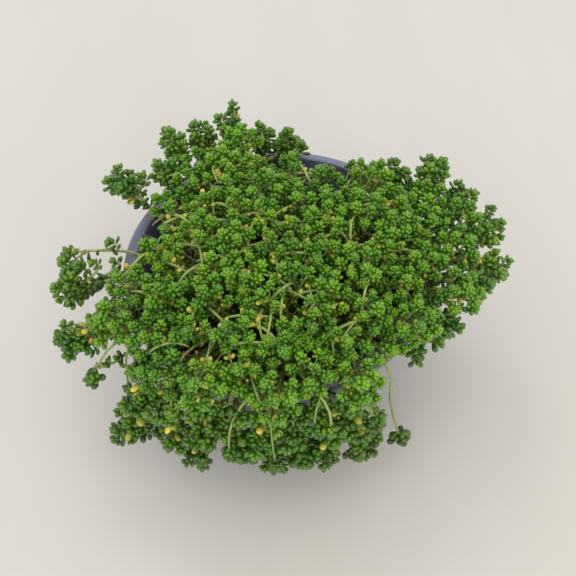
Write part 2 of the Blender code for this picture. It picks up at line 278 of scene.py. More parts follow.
@dataclass
class Tip:
    """One leafy shoot tip, the growing end of a stem."""

    centre: Vector
    axis: Vector
    head: Head
    sprig: Sprig


@dataclass(frozen=True)
class PotSizes:
    """The pan's driving sizes, those of its solid."""

    height: float = 60 * MM
    lip_radius: float = 60 * MM
    lip_width: float = 5.2 * MM
    lip_slope: float = 1.2 * MM
    lip_skirt: float = 3.4 * MM
    base_radius: float = 40 * MM
    base_round: float = 1 * MM
    wall: float = 1.4 * MM
    floor: float = 1.8 * MM
    soil_edge: float = 49 * MM
    soil_mound: float = 2.5 * MM
    drain_count: int = 6
    drain_radius: float = 3.5 * MM
    drain_circle: float = 28 * MM

    @property
    def neck(self) -> float:
        """The inner radius of the lip."""
        return self.lip_radius - self.lip_width

    def inner_radius(self, height: float) -> float:
        """Gives the radius of the inner wall at a height."""
        foot = self.base_radius - self.wall
        return foot + (self.neck - foot) * height / self.height

    def soil_height(self, radius: float) -> float:
        """Gives the height of the soil at a radius."""
        rim = self.inner_radius(self.soil_edge)
        return self.soil_edge + self.soil_mound * (1 - (radius / rim) ** 2)


# The trailing shoots of each side: degrees round the pot's axis, the end's reach and its height above the
# lip in mm, and the number of heads.
TRAILS = (
    ("right_back", (33, 60, 4, 1), (25, 70, 11, 1), (15, 75, 5, 1)),
    ("right", (4, 82, 2, 1), (-6, 82, -3, 1), (-15, 75, 1, 1), (-28, 67, -6, 2), (-43, 65, -9, 1)),
    ("front_right", (-55.5, 70, -43, 1), (-68, 69, -34, 2), (-78, 68, -30, 2)),
    ("front", (-88, 68, -29, 2), (-97, 68, -32, 2), (-107, 68, -28, 2)),
    ("front_left", (-117, 71, -34, 3), (-127, 72, -28, 2), (-137, 78, -29, 3), (-149, 83, -12, 1)),
    ("left", (-157, 83, -1, 2), (-173, 80, 0, 1), (174, 82, 0, 1)),
    ("left_back", (152, 68, 14, 1), (138, 58, 11, 1), (128, 66, 14, 1)),
    ("back", (117, 64, 13, 1), (105, 65, 13, 1), (94, 61, 7, 1), (84, 56, 7, 1)),
)


@dataclass
class Growth:
    """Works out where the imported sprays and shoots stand, with the sizes and the seeds of their solids."""

    pot: PotSizes
    root_depth: float = 9 * MM
    head_near: float = 22 * MM
    mat_count: int = 90
    mat_radius: float = 72 * MM
    mat_edge: float = 65 * MM
    mat_edge_height: float = 7 * MM
    mat_mound: float = 13 * MM
    mat_head: float = 11 * MM
    mat_lift: float = 2 * MM
    mat_spacing: float = 15.5 * MM
    mat_pushes: int = 120
    mat_push: float = 0.2
    mat_sprays: int = 21
    mat_stem_radius: float = 42 * MM
    mat_turn: float = math.radians(34)
    mat_gather: float = 0.78
    mat_fork_height: float = 0.5 * MM
    mat_upright: float = 1.2
    mat_seed: int = 14
    mat_arcs: tuple[tuple[float, float, float, float], ...] = (
        (0, 24, 71 * MM, 0),
        (24, 44, 47 * MM, 3 * MM),
        (44, 90, 30 * MM, 6 * MM),
        (146, 200, 43 * MM, 0),
        (200, 292, 69 * MM, 0),
        (292, 308, 50 * MM, 0),
        (308, 330, 62 * MM, 0),
        (330, 344, 69 * MM, 0),
        (344, 360, 71 * MM, 0),
    )
    trail_root: float = 46 * MM
    trail_over_lip: float = 1.7 * MM
    trail_bend: float = 65.5 * MM
    trail_bend_drop: float = 4.5 * MM
    trail_head: float = 8.5 * MM
    trail_pitch: float = 15.5 * MM
    trail_sway: float = 2.5 * MM
    trail_shift: float = 1 * MM
    hanging_drop: float = 14 * MM
    trail_seed: int = 5

    def root_height(self) -> float:
        """Gives the height at which every stem ends in the soil."""
        return self.pot.soil_edge - self.root_depth

    def trail_curve(self, angle: float, reach: float, tip_height: float, sway: float) -> list[Vector]:
        """Gives the points of a trailing stem.

        Args:
            angle: Its direction round the pot.
            reach: Its tip's distance from the pot's axis.
            tip_height: Its tip's height above the floor.
            sway: How far it swings aside as it hangs.

        Returns:
            The points from its root over the lip to its tip.
        """
        height = self.pot.height
        over_lip = height + self.trail_over_lip
        points = [
            polar(self.trail_root, angle, self.root_height()),
            polar(self.trail_root, angle, self.pot.soil_edge + self.pot.soil_mound),
            polar(self.pot.neck, angle, over_lip),
        ]
        if tip_height > height - self.hanging_drop:
            rise = max(0.0, tip_height - over_lip) / 3
            points.append(polar((self.pot.lip_radius + reach) / 2, angle, over_lip + rise))
            points.append(polar(reach, angle, tip_height))
            return points
        points.append(polar(self.pot.lip_radius + self.trail_over_lip, angle, over_lip))
        bend_height = over_lip - self.trail_bend_drop
        points.append(polar(self.trail_bend, angle, bend_height))
        steps = max(2, round((height - tip_height) / self.trail_pitch))
        for step in range(1, steps + 1):
            share = step / steps
            outwards = self.trail_bend + (reach - self.trail_bend) * math.sin(share * math.pi / 2)
            sideways = sway * math.sin(share * math.pi * 1.5) / outwards
            level = bend_height + (tip_height - bend_height) * share
            points.append(polar(outwards, angle + sideways, level))
        return points

    def trailing(self) -> list[Stalk]:
        """Gives the shoots that cross the lip."""
        draw = random.Random(self.trail_seed)
        stalks = []
        for side, *shoots in TRAILS:
            for number, (degrees, reach, height, count) in enumerate(shoots, 1):
                angle = math.radians(degrees)
                sway = self.trail_sway * draw.choice((-1, 1))
                line = self.trail_curve(angle, reach * MM, self.pot.height + height * MM, sway)
                outwards = polar(1, angle)
                heads = []
                for index in range(count):
                    centre, direction = along(line, index * self.trail_pitch)
                    aside = polar(1, angle + math.pi / 2) * draw.uniform(-1, 1) * self.trail_shift
                    away = outwards * draw.uniform(0.5, 2.5) * self.trail_shift
                    if index:
                        centre = centre + aside + away
                    axis = (direction * 0.5 + outwards * 0.6 + UP * 0.7).normalized()
                    heads.append(Head(centre, axis, self.trail_head))
                stalks.append(Stalk(f"trailing_shoot_{side}_{number}", Habit.TRAILING, line, heads))
        return stalks

    def mat_room(self, place: Vector) -> tuple[float, float]:
        """Gives how far from the axis a mat head may stand on its side, and how much lower it is there."""
        angle = math.degrees(math.atan2(place.y, place.x)) % 360
        for start, end, limit, dip in self.mat_arcs:
            if start < angle < end:
                return limit, dip
        return self.mat_edge, 0

    def push_apart(self, place: Vector, neighbours: Iterable[Vector]) -> None:
        """Moves a place sideways, away from each neighbour that is too near."""
        for neighbour in neighbours:
            apart = place - neighbour
            if 0 < apart.length < self.mat_spacing:
                place += apart.xy.to_3d() * self.mat_push * (self.mat_spacing / apart.length - 1)

    def mat_places(self, trail_places: list[Vector]) -> list[Vector]:
        """Gives the centres of the mat's heads, pushed apart and off the trailing ones."""
        draw = random.Random(self.mat_seed)
        places = []
        for count in range(self.mat_count):
            place = sunflower(count, self.mat_count, self.mat_radius)
            mound = self.mat_mound * (1 - (place.length / self.mat_radius) ** 2)
            lift = draw.uniform(-1, 1) * self.mat_lift
            limit, dip = self.mat_room(place)
            if place.length < limit:
                place.z = self.pot.height + self.mat_edge_height + mound + lift - dip
                places.append(place)
        for _ in range(self.mat_pushes):
            for place in places:
                self.push_apart(place, places + trail_places)
                limit = self.mat_room(place)[0]
                if place.xy.length > limit:
                    place.xy = place.xy * (limit / place.xy.length)
        return places

    def mat(self, trailing: list[Stalk]) -> list[Stalk]:
        """Gives the upright sprays in the middle of the pot."""
        places = self.mat_places([head.centre for stalk in trailing for head in stalk.heads])
        roots = [
            sunflower(count, self.mat_sprays, self.mat_stem_radius, self.mat_turn)
            for count in range(self.mat_sprays)
        ]
        groups: list[list[Vector]] = [[] for _ in roots]
        for place in places:
            gaps = [(root.xy - place.xy * self.mat_gather).length for root in roots]
            groups[gaps.index(min(gaps))].append(place)
        stalks = []
        for root, group in zip(roots, groups):
            if not group:
                continue
            foot = root + UP * self.root_height()
            fork = root + UP * (self.pot.height + self.mat_fork_height)
            heads = []
            for place in group:
                axis = ((place - fork).normalized() + UP * self.mat_upright).normalized()
                heads.append(Head(place, axis, self.mat_head))
            stalks.append(Stalk(f"mat_spray_{len(stalks) + 1:02d}", Habit.MAT, [foot, fork], heads))
        return stalks

    def mirrored_in_lip(self, place: Vector) -> Vector:
        """Gives a place's mirror image in the lip's side or in its top, whichever leaves it more room."""
        radius = place.xy.length
        if radius - self.pot.lip_radius > place.z - self.pot.height:
            return place + place.xy.to_3d() * 2 * (self.pot.lip_radius / radius - 1)
        return place + UP * 2 * (self.pot.height - place.z)

    def neighbours(self, head: Head, heads: Sequence[Head]) -> list[Vector]:
        """Gives the centres of the heads that a head shares its room with."""
        return [h.centre for h in heads if 0 < (h.centre - head.centre).length < self.head_near]


@dataclass(frozen=True)
class Clearings:
    """The places where the mat opens, so that its stems and dry undergrowth show."""

    places: tuple[tuple[float, float, float], ...] = (
        (165, 44, 7), (174, 46, 7), (170, 39, 6), (65, 33, 6), (23, 5, 5), (-86, 32, 5), (-118, 46, 6),
        (-156, 34, 6), (20, 40, 5.5), (-77, 34, 5), (-121, 58, 5.5), (134, 35, 5.5), (-96, 49, 4),
        (-64, 48, 5.5), (-86, 42, 4.5), (-16, 29, 5), (86, 34, 5), (156, 24, 4.5),
    )

    def depth(self, place: Vector) -> float:
        """Gives how far inside a clearing a place lies, in metres: below 0 outside them all."""
        return max(
            size * MM - (place.xy.to_3d() - polar(reach * MM, math.radians(degrees))).length
            for degrees, reach, size in self.places
        )


@dataclass
class TipPlan:
    """Fills each head's space with real shoot tips, and spreads them evenly."""

    growth: Growth
    clearings: Clearings
    overlap: float = 0.5 * MM
    lip_gap: float = 2.2 * MM
    rounds: int = 24
    push: float = 0.3
    sunk: float = 0.9 * MM
    cleared: float = 0.85
    least_reach: float = 0.2 * MM
    turn_jitter: Span = (-0.3, 0.3)
    head_pull: float = 0.5
    upwards: float = 0.45
    wobble: float = 0.22
    lone_rise: float = 1.6
    stray_rise: float = 0.8
    seed: int = 23

    def reach(self, head: Head, direction: Vector, radius: float, neighbours: Sequence[Vector]) -> float:
        """Gives how far from its head's centre a tip may stand.

        Args:
            head: The tip's head.
            direction: A unit vector from the head's centre.
            radius: The tip's radius.
            neighbours: The centres of the heads near it.

        Returns:
            The distance in metres. It keeps the tip's leaves within the head's own reach and off the lip,
            and the tip itself on its own side of the middle between two heads.
        """
        limit = head.size - radius
        bounds = [(place, self.overlap) for place in neighbours]
        bounds.append((self.growth.mirrored_in_lip(head.centre), self.lip_gap))
        for place, margin in bounds:
            apart = place - head.centre
            towards = direction.dot(apart) / apart.length
            if towards > 0:
                limit = min(limit, apart.length / 2 / towards - margin)
        return max(self.least_reach, limit)

    def first_tips(self, head: Head, near: list[Vector], sprig: Sprig, draw: random.Random) -> list[Tip]:
        """Places a head's tips in rings round its axis."""
        upright = head.axis.to_track_quat("Z", "Y").to_matrix()
        tips = []
        for count, low, high in sprig.rings:
            turn = draw.uniform(0, math.tau)
            for index in range(count):
                tilt = math.radians(draw.uniform(low, high))
                side = turn + index * math.tau / count + draw.uniform(*self.turn_jitter)
                direction = upright @ polar(math.sin(tilt), side, math.cos(tilt))
                place = head.centre + direction * self.reach(head, direction, sprig.radius, near)
                tips.append(Tip(place, direction, head, sprig))
        return tips

    def settle(self, tips: list[Tip], near: dict[int, list[Vector]]) -> None:
        """Pushes near tips apart, and keeps each one within its head's space, close under its surface."""
        for _ in range(self.rounds):
            tree = KDTree(len(tips))
            for index, tip in enumerate(tips):
                tree.insert(tip.centre, index)
            tree.balance()
            for index, tip in enumerate(tips):
                shift = Vector()
                for place, other, distance in tree.find_range(tip.centre, tip.sprig.spacing):
                    if other != index and distance > 0:
                        shift += (tip.centre - place) * (tip.sprig.spacing / distance - 1) * self.push
                direction = (tip.centre + shift - tip.head.centre).normalized()
                room = self.reach(tip.head, direction, tip.sprig.radius, near[id(tip.head)])
                tip.centre = tip.head.centre + direction * room

    def sprig(self, stalk: Stalk) -> Sprig:
        """Gives how a stalk's shoot tips grow."""
        return OWN_SPRIGS.get(stalk.node, SPRIGS[stalk.habit])

    def add_strays(self, stalks: list[Stalk], tips: dict[str, list[Tip]]) -> None:
        """Adds the single shoot tips, each to the stalk with the nearest head."""
        owners = [(stalk, head) for stalk in stalks for head in stalk.heads]
        for degrees, reach, height in STRAYS:
            angle = math.radians(degrees)
            place = polar(reach * MM, angle, self.growth.pot.height + height * MM)
            stalk, head = min(owners, key=lambda owner: (owner[1].centre - place).length)
            sprig = MAT_SPRIG if stalk.habit is Habit.MAT else LONE_SPRIG
            outwards = polar(reach * MM / self.growth.pot.lip_radius, angle)
            axis = (outwards + UP * self.stray_rise).normalized()
            tips[stalk.node].append(Tip(place, axis, head, sprig))

    def plan(self, stalks: list[Stalk]) -> dict[str, list[Tip]]:
        """Plans the shoot tips of every stalk.

        Args:
            stalks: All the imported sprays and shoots.

        Returns:
            The tips of each stalk's node.
        """
        draw = random.Random(self.seed)
        heads = [head for stalk in stalks for head in stalk.heads]
        crowd = [head for stalk in stalks if stalk.node not in LONE_SHOOTS for head in stalk.heads]
        near = {id(head): self.growth.neighbours(head, crowd) for head in heads}
        tips: dict[str, list[Tip]] = {}
        for stalk in stalks:
            tips[stalk.node] = []
            for head in stalk.heads:
                tips[stalk.node] += self.first_tips(head, near[id(head)], self.sprig(stalk), draw)
        self.settle([tip for group in tips.values() for tip in group], near)
        for node, group in tips.items():
            tips[node] = [
                tip for tip in group
                if self.clearings.depth(tip.centre) < 0 or draw.random() > self.cleared
            ]
        everything = [tip for group in tips.values() for tip in group]
        for tip in everything:
            outwards = (tip.centre - tip.head.centre).normalized()
            wobble = stray_vector(draw, 0.5) * self.wobble
            axis = outwards + tip.head.axis * self.head_pull + UP * self.upwards + wobble
            tip.axis = axis.normalized()
            tip.centre -= tip.axis * abs(draw.gauss(0, 1)) * self.sunk
        for node in LONE_SHOOTS:
            end = tips[node][0]
            end.centre = end.head.centre.copy()
            end.axis = (end.centre.xy.to_3d().normalized() + UP * self.lone_rise).normalized()
        self.add_strays(stalks, tips)
        return tips


@dataclass
class Shape:
    """A small mesh that is copied many times, with how far along it each of its points lies."""

    mesh: bpy.types.Mesh
    rest: list[float]
    alongs: list[float]

    @classmethod
    def from_bmesh(cls, name: str, bm: bmesh.types.BMesh, material_index: int) -> "Shape":
        """Makes a shape of a bmesh whose length runs from 0 to 1 along Z."""
        for face in bm.faces:
            face.smooth = True
            face.material_index = material_index
        mesh = bpy.data.meshes.new(name)
        bm.to_mesh(mesh)
        bm.free()
        rest = [0.0] * (3 * len(mesh.vertices))
        mesh.vertices.foreach_get("co", rest)
        return cls(mesh, rest, [vertex.co.z for vertex in mesh.vertices])

    def put(self, points: list[float]) -> None:
        """Moves the mesh's points to new places."""
        self.mesh.vertices.foreach_set("co", points)


@dataclass
class Shapes:
    """The leaf and stem shapes that all the foliage is made of."""

    leaf: Shape = field(init=False)
    bead: Shape = field(init=False)
    bud: Shape = field(init=False)
    stem: Shape = field(init=False)

    def __post_init__(self) -> None:
        """Makes the shapes."""
        self.leaf = self.fat_leaf("leaf_shape", 6, (0.42, 0.72, 1.06, 1.16), 0.58, 0.2)
        self.bead = self.fat_leaf("bead_shape", 6, (0.55, 1.0, 1.08), 0.8, 0.16)
        self.bud = self.fat_leaf("bud_shape", 5, (0.7, 1.0, 1.0), 0.86, 0.12)
        self.stem = self.tube("stem_shape", 5, 8)

    def fat_leaf(
        self, name: str, sides: int, widths: Sequence[float], flatness: float, curl: float
    ) -> Shape:
        """Makes a fat leaf, an egg that is made slimmer or wider row by row and curled inwards.

        Args:
            name: The shape's name.
            sides: How many sides it has round its length.
            widths: What each row of its points is widened by, from its base to its tip.
            flatness: How thick it is for its width.
            curl: How far its tip is bent towards its upper side.

        Returns:
            A shape one unit long and wide.
        """
        bm = bmesh.new()
        bmesh.ops.create_uvsphere(bm, u_segments=sides, v_segments=len(widths) + 1, radius=0.5)
        levels = sorted({round(vertex.co.z, 4) for vertex in bm.verts})[1:-1]
        for vertex in bm.verts:
            row = round(vertex.co.z, 4)
            if row in levels:
                vertex.co.xy *= widths[levels.index(row)]
            share = vertex.co.z + 0.5
            vertex.co.y = vertex.co.y * flatness + curl * share * share
            vertex.co.z = share
        return Shape.from_bmesh(name, bm, 0)

    def tube(self, name: str, sides: int, runs: int) -> Shape:
        """Makes a straight tube of unit radius and length, cut into runs so that it can bend."""
        bm = bmesh.new()
        lifted = Matrix.Translation((0, 0, 0.5))
        bmesh.ops.create_cone(
            bm, cap_ends=True, segments=sides, radius1=1, radius2=1, depth=1, matrix=lifted
        )
        upright = [edge for edge in bm.edges if abs(edge.verts[0].co.z - edge.verts[1].co.z) > 0.5]
        bmesh.ops.subdivide_edges(bm, edges=upright, cuts=runs - 1)
        return Shape.from_bmesh(name, bm, 1)


def mesh_of(name: str, bm: bmesh.types.BMesh) -> bpy.types.Mesh:
    """Makes a bmesh a mesh, and frees the bmesh."""
    mesh = bpy.data.meshes.new(name)
    bm.to_mesh(mesh)
    bm.free()
    return mesh


def show(name: str, data: bpy.types.ID) -> bpy.types.Object:
    """Makes an object of a mesh, a light or a camera, linked to the scene."""
    made = bpy.data.objects.new(name, data)
    bpy.context.scene.collection.objects.link(made)
    return made


class Gatherer:
    """Gathers copies of small shapes into one mesh, with the values that its materials read."""

    def __init__(self) -> None:
        """Starts an empty mesh."""
        self.bm = bmesh.new()
        # The age value carries both the leaves' real age and the painted shade of low-hanging tips.
        self.values: dict[str, list[float]] = {"age": [], "tone": [], "wilt": [], "along": []}

    def note(self, shape: Shape, age: float, tone: float, wilt: float) -> None:
        """Notes the values of the shape that was just added."""
        count = len(shape.alongs)
        self.values["age"] += [age] * count
        self.values["tone"] += [tone] * count
        self.values["wilt"] += [wilt] * count
        self.values["along"] += shape.alongs

    def add_leaf(
        self, shape: Shape, base: Vector, direction: Vector, upper: Vector, length: float, width: float,
        age: float, tone: float, condition: Condition = Condition.FRESH,
    ) -> None:
        """Adds one leaf.

        Args:
            shape: The leaf's shape.
            base: Where it grows from its stem.
            direction: A unit vector along it, towards its tip.
            upper: A vector that its upper face looks towards.
            length: Its length.
            width: Its width.
            age: 0 for the youngest leaves to 1 for the oldest; painted shade raises it further on tips that
                hang low.
            tone: A random value from 0 to 1 that varies its colour.
            condition: Whether it is fresh or has yellowed.
        """
        side = direction.cross(upper).normalized()
        face = side.cross(direction)
        thickness = width * (0.45 if condition is Condition.WITHERED else 1)
        matrix = Matrix.Translation(base) @ Matrix((
            (side.x * width, face.x * thickness, direction.x * length, 0),
            (side.y * width, face.y * thickness, direction.y * length, 0),
            (side.z * width, face.z * thickness, direction.z * length, 0),
            (0, 0, 0, 1),
        ))
        if matrix.determinant() < 0:
            matrix = matrix @ Matrix.Diagonal((-1, 1, 1, 1))
        shape.put(shape.rest)
        shape.mesh.transform(matrix)
        self.bm.from_mesh(shape.mesh, face_normals=False)
        self.note(shape, age, tone, condition.value)

    def add_stem(
        self, shape: Shape, line: Sequence[Vector], thick: float, thin: float, tone: float,
        young: float = 0.0, old: float = 1.0,
    ) -> None:
        """Adds one stem, a tube bent along a line.

        Args:
            shape: The straight tube.
            line: The points that it follows, from its root to its tip.
            thick: Its radius at the root.
            thin: Its radius at the tip.
            tone: A random value from 0 to 1 that varies its colour.
            young: Its age at the tip.
            old: Its age at the root.
        """
        total = length_of(line)
        frames: dict[float, tuple[Vector, Vector, Vector]] = {}
        points: list[float] = []
        for index, share in enumerate(shape.alongs):
            key = round(share, 3)
            if key not in frames:
                place, direction = along(line, total * (1 - share))
                across = direction.orthogonal() if abs(direction.z) > 0.99 else direction.cross(UP)
                across.normalize()
                frames[key] = place, across, direction.cross(across)
            place, across, over = frames[key]
            radius = thick + (thin - thick) * share
            x, y = shape.rest[3 * index], shape.rest[3 * index + 1]
            points.extend(place + (across * x + over * y) * radius)
        shape.put(points)
        self.bm.from_mesh(shape.mesh, face_normals=False)
        self.note(shape, 0, tone, 0)
        self.values["age"][-len(shape.alongs):] = [old + (young - old) * share for share in shape.alongs]

    def finish(self, name: str, materials: Sequence[bpy.types.Material]) -> bpy.types.Object:
        """Makes the mesh an object.

        Args:
            name: The object's name.
            materials: Its materials, in the order of the faces' material indices.

        Returns:
            The object, linked to the scene.
        """
        mesh = mesh_of(name, self.bm)
        for layer, values in self.values.items():
            mesh.attributes.new(layer, "FLOAT", "POINT").data.foreach_set("value", values)
        for material in materials:
            mesh.materials.append(material)
        return show(name, mesh)


@dataclass(frozen=True)
class Packing:
    """How the leaves of one shoot tip are packed, from its bud outwards. Angles are in degrees."""

    vigour: Span = (0.76, 1.14)
    opening: Span = (76, 96)
    opening_power: float = 0.75
    growth_power: float = 0.5
    bud_tilt: float = 12
    bud_share: float = 0.35
    bud_rise: float = 0.28
    bud_age: float = 0.08
    age_span: float = 0.5
    tilt_jitter: Span = (-10, 10)
    turn_jitter: Span = (-0.16, 0.16)
    length_jitter: Span = (0.9, 1.12)
    width_jitter: Span = (0.92, 1.08)
    tone_jitter: Span = (-0.15, 0.15)
    # Painted shade: tips that hang low get older, darker leaf colours, standing in for the shade under the
    # overhang.
    painted_shade_most: float = 0.55
    painted_shade_below: float = 52 * MM
    painted_shade_span: float = 40 * MM

    def shade(self, height: float) -> float:
        """Gives the painted shade of a tip that hangs as low as a height: how much its leaves' age is raised,
        which darkens them.
        """
        return self.painted_shade_most * min(1.0, max(0.0, (self.painted_shade_below - height) / self.painted_shade_span))


@dataclass(frozen=True)
class StemLeaves:
    """How leaves stand along a stem, from just below its tip towards its root."""

    first: float = 0.3 * MM
    turn_jitter: Span = (-0.3, 0.3)
    pitch_jitter: Span = (0.6, 1.3)
    pitch_growth: float = 0.12
    bare_from: float = 0.9
    size: Span = (0.85, 1.15)
    slimness: Span = (0.85, 1.0)
    age: float = 0.55
    age_step: float = 0.05
    tone_jitter: Span = (-0.2, 0.2)
    yellow_limit: float = 10 * MM
    yellow_length: float = 6 * MM
    on_main_stem: int = 14

    def condition(self, sprig: Sprig, distance: float, draw: random.Random) -> Condition:
        """Draws a leaf's condition: the further from the tip, the more leaves have yellowed."""
        chance = draw.random()
        share = sprig.yellow_share * (1 + min(distance, self.yellow_limit) / self.yellow_length)
        for condition, limit in WILT_LIMITS.items():
            if chance < share * limit:
                return condition
        return Condition.FRESH


@dataclass(frozen=True)
class SideShoots:
    """The short side shoots of a shoot that hangs low. Spans of lengths are in millimetres."""

    below: float = 45 * MM
    clear: float = 2.5 * MM
    pitch: float = 3.4 * MM
    pitch_jitter: Span = (0.8, 1.2)
    under_head: float = 0.45
    length: Span = (3.5, 8.0)
    spread: float = 1.1
    rise: Span = (0, 0.7)
    tone_jitter: Span = (-0.25, 0.25)
    ages: Span = (0, 0.6)


@dataclass(frozen=True)
class Runners:
    """The bare stems that run from head to head across the mat. Spans of lengths are in millimetres."""

    limit: float = 60 * MM
    span: float = 19 * MM
    share: float = 0.2
    share_open: float = 0.6
    near: float = 5 * MM
    inset: float = 0.05
    aside: Span = (-6, 6)
    level: Span = (-3, 1)
    arch: Span = (2, 5)
    drift: Span = (-2, 2)
    tone: Span = (0.3, 0.9)
    ages: Span = (0.1, 0.5)
    leaf: float = 2.7 * MM
    leaf_counts: tuple[int, ...] = (0, 1, 1, 2, 3)
    leaves: tuple[Condition, ...] = (Condition.YELLOW,) * 4 + (Condition.AMBER,) + (Condition.TURNING,) * 4


@dataclass(frozen=True)
class Hangers:
    """The thin stems that leave the mat and hang over the lip. Spans of lengths are in millimetres."""

    root_turn: Span = (-0.2, 0.2)
    turn: Span = (-0.12, 0.12)
    rise: Span = (-1, 3)
    root: Span = (44, 52)
    root_level: Span = (4, 8)
    crest: float = 62
    crest_level: float = 11
    bend: Span = (69, 74)
    bend_level: float = 6
    reach: Span = (70, 75)
    drop: Span = (4, 24)
    runs: int = 12
    tone: Span = (0.2, 0.8)
    ages: Span = (0.1, 0.5)
    leaf: float = 3.5 * MM
    leaf_counts: tuple[int, ...] = (0, 1, 2)
    leaves: tuple[Condition, ...] = (Condition.YELLOW,) + (Condition.TURNING,) * 3 + (Condition.FRESH,) * 2


@dataclass(frozen=True)
class Undergrowth:
    """The dry tangle under the mat's heads. Spans of lengths are in millimetres."""

    limit: float = 50 * MM
    stems: int = 4
    reach: float = 13 * MM
    spread: Span = (0.3, 1)
    level: Span = (-2, 9)
    aside: Span = (0, 4)
    arch: Span = (0, 3)
    tone: Span = (0.5, 1)
    ages: Span = (0.8, 1)
    leaf: float = 2.7 * MM
    leaf_slimness: float = 0.7
    leaf_place: Span = (0.2, 0.8)


@dataclass
class Foliage:
    """Builds the stems and leaves of one spray or shoot."""

    shapes: Shapes
    pot: PotSizes
    clearings: Clearings
    packing: Packing = Packing()
    stem_leaves: StemLeaves = StemLeaves()
    side_shoots: SideShoots = SideShoots()
    runners: Runners = Runners()
    hangers: Hangers = Hangers()
    undergrowth: Undergrowth = Undergrowth()
    stem_thin: float = 0.4 * MM
    stem_thick: float = 0.6 * MM
    main_thickening: float = 1.3
    main_runs: int = 4
    main_ages: Span = (0.2, 1)
    branch_runs: int = 10
    branch_ages: Span = (0, 0.9)
    branch_stray: float = 1.2
    mat_spread: Span = (0, 4)
    mat_sunk: float = 1.5 * MM
    mat_lean: float = 1.5
    tone: Span = (0.35, 0.65)
    tone_jitter: Span = (-0.22, 0.22)

    def outer_leaf(self, sprig: Sprig) -> Shape:
        """Gives the shape of a sprig's grown leaves."""
        return self.shapes.bead if sprig is MAT_SPRIG else self.shapes.leaf

    def add_rosette(self, mesh: Gatherer, tip: Tip, tone: float, draw: random.Random) -> None:
        """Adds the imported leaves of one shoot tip, smallest at its middle."""
        sprig = tip.sprig
        pack = self.packing
        outer = self.outer_leaf(sprig)
        upright = tip.axis.to_track_quat("Z", "Y").to_matrix()
        turn = draw.uniform(0, math.tau)
        vigour = draw.uniform(*pack.vigour)
        opening = draw.uniform(*pack.opening)
        # Painted shade: a tip that hangs low gets its leaves' age raised, which darkens their colour.
        shade = pack.shade(tip.centre.z)
        for index in range(sprig.leaves):
            share = index / (sprig.leaves - 1)
            growth = share**pack.growth_power
            opened = pack.bud_tilt + opening * share**pack.opening_power
            tilt = math.radians(opened + draw.uniform(*pack.tilt_jitter))
            side = turn + index * GOLDEN_ANGLE + draw.uniform(*pack.turn_jitter)
            direction = upright @ polar(math.sin(tilt), side, math.cos(tilt))
            length = sprig.bud_length + (sprig.leaf_length - sprig.bud_length) * growth
            width = sprig.bud_width + (sprig.leaf_width - sprig.bud_width) * growth
            base = tip.centre + tip.axis * sprig.depth * (pack.bud_rise - share)
            shape = self.shapes.bud if share < pack.bud_share else outer
            mesh.add_leaf(
                shape, base, direction, tip.axis, length * vigour * draw.uniform(*pack.length_jitter),
                width * vigour * draw.uniform(*pack.width_jitter),
                pack.bud_age + pack.age_span * share + shade, tone + draw.uniform(*pack.tone_jitter),
            )

    def add_stem_leaves(
        self, mesh: Gatherer, line: Sequence[Vector], sprig: Sprig, count: int, tone: float,
        draw: random.Random,
    ) -> None:
        """Adds the leaves below a tip, in crossed pairs that get fewer and older towards the root."""
        leaves = self.stem_leaves
        shape = self.outer_leaf(sprig)
        turn = draw.uniform(0, math.tau)
        distance = sprig.depth + leaves.first
        for index in range(count):
            place, direction = along(line, distance)
            turn += math.pi if index % 2 else math.pi / 2 + draw.uniform(*leaves.turn_jitter)
            widening = 1 + index * leaves.pitch_growth
            distance += sprig.stem_leaf_pitch * draw.uniform(*leaves.pitch_jitter) * widening
            if distance > length_of(line) * leaves.bare_from:
                break
            upright = direction.to_track_quat("Z", "Y").to_matrix()
            tilt = math.radians(draw.uniform(*sprig.stem_leaf_tilt))
            aim = upright @ polar(math.sin(tilt), turn, math.cos(tilt))
            condition = leaves.condition(sprig, distance, draw)
            size = draw.uniform(*leaves.size) * LEAF_SIZES[condition]
            mesh.add_leaf(
                shape, place, aim, direction, sprig.leaf_length * size,
                sprig.leaf_width * size * draw.uniform(*leaves.slimness),
                min(1.0, leaves.age + index * leaves.age_step),
                tone + draw.uniform(*leaves.tone_jitter), condition,
            )

    def mat_stem(self, stalk: Stalk, tip: Tip, draw: random.Random) -> list[Vector]:
        """Gives the line of an upright stem, from the soil near its spray's root to its tip."""
        root = stalk.line[0]
        spot = root + polar(draw.uniform(*self.mat_spread) * MM, draw.uniform(0, math.tau))
        spot.z = self.pot.soil_height(spot.xy.length) - self.mat_sunk
        end = tip.centre - tip.axis * tip.sprig.depth * 0.5
        reach = (end - spot).length
        lean = Vector((draw.gauss(0, 1), draw.gauss(0, 1), 0)) * self.mat_lean * MM
        leave = spot + UP * reach * 0.35 + lean
        return bezier(spot, leave, end - tip.axis * reach * 0.45, end, self.branch_runs)

    def trailing_stem(
        self, main: Sequence[Vector], distance_back: float, tip: Tip, draw: random.Random
    ) -> list[Vector]:
        """Gives the line of a branch of a trailing shoot, from its main stem to its tip."""
        back = distance_back + draw.uniform(*tip.sprig.branch)
        start, direction = along(main, min(back, length_of(main) * 0.9))
        end = tip.centre - tip.axis * tip.sprig.depth * 0.5
        reach = (end - start).length
        leave = start + direction * reach * 0.4 + stray_vector(draw) * self.branch_stray * MM
        return bezier(start, leave, end - tip.axis * reach * 0.35, end, self.branch_runs)

    def add_stem(self, mesh: Gatherer, line: Sequence[Vector], tone: float, ages: Span) -> None:
        """Adds a stem of the usual thickness, with its ages at its tip and at its root."""
        mesh.add_stem(self.shapes.stem, line, self.stem_thick, self.stem_thin, tone, *ages)

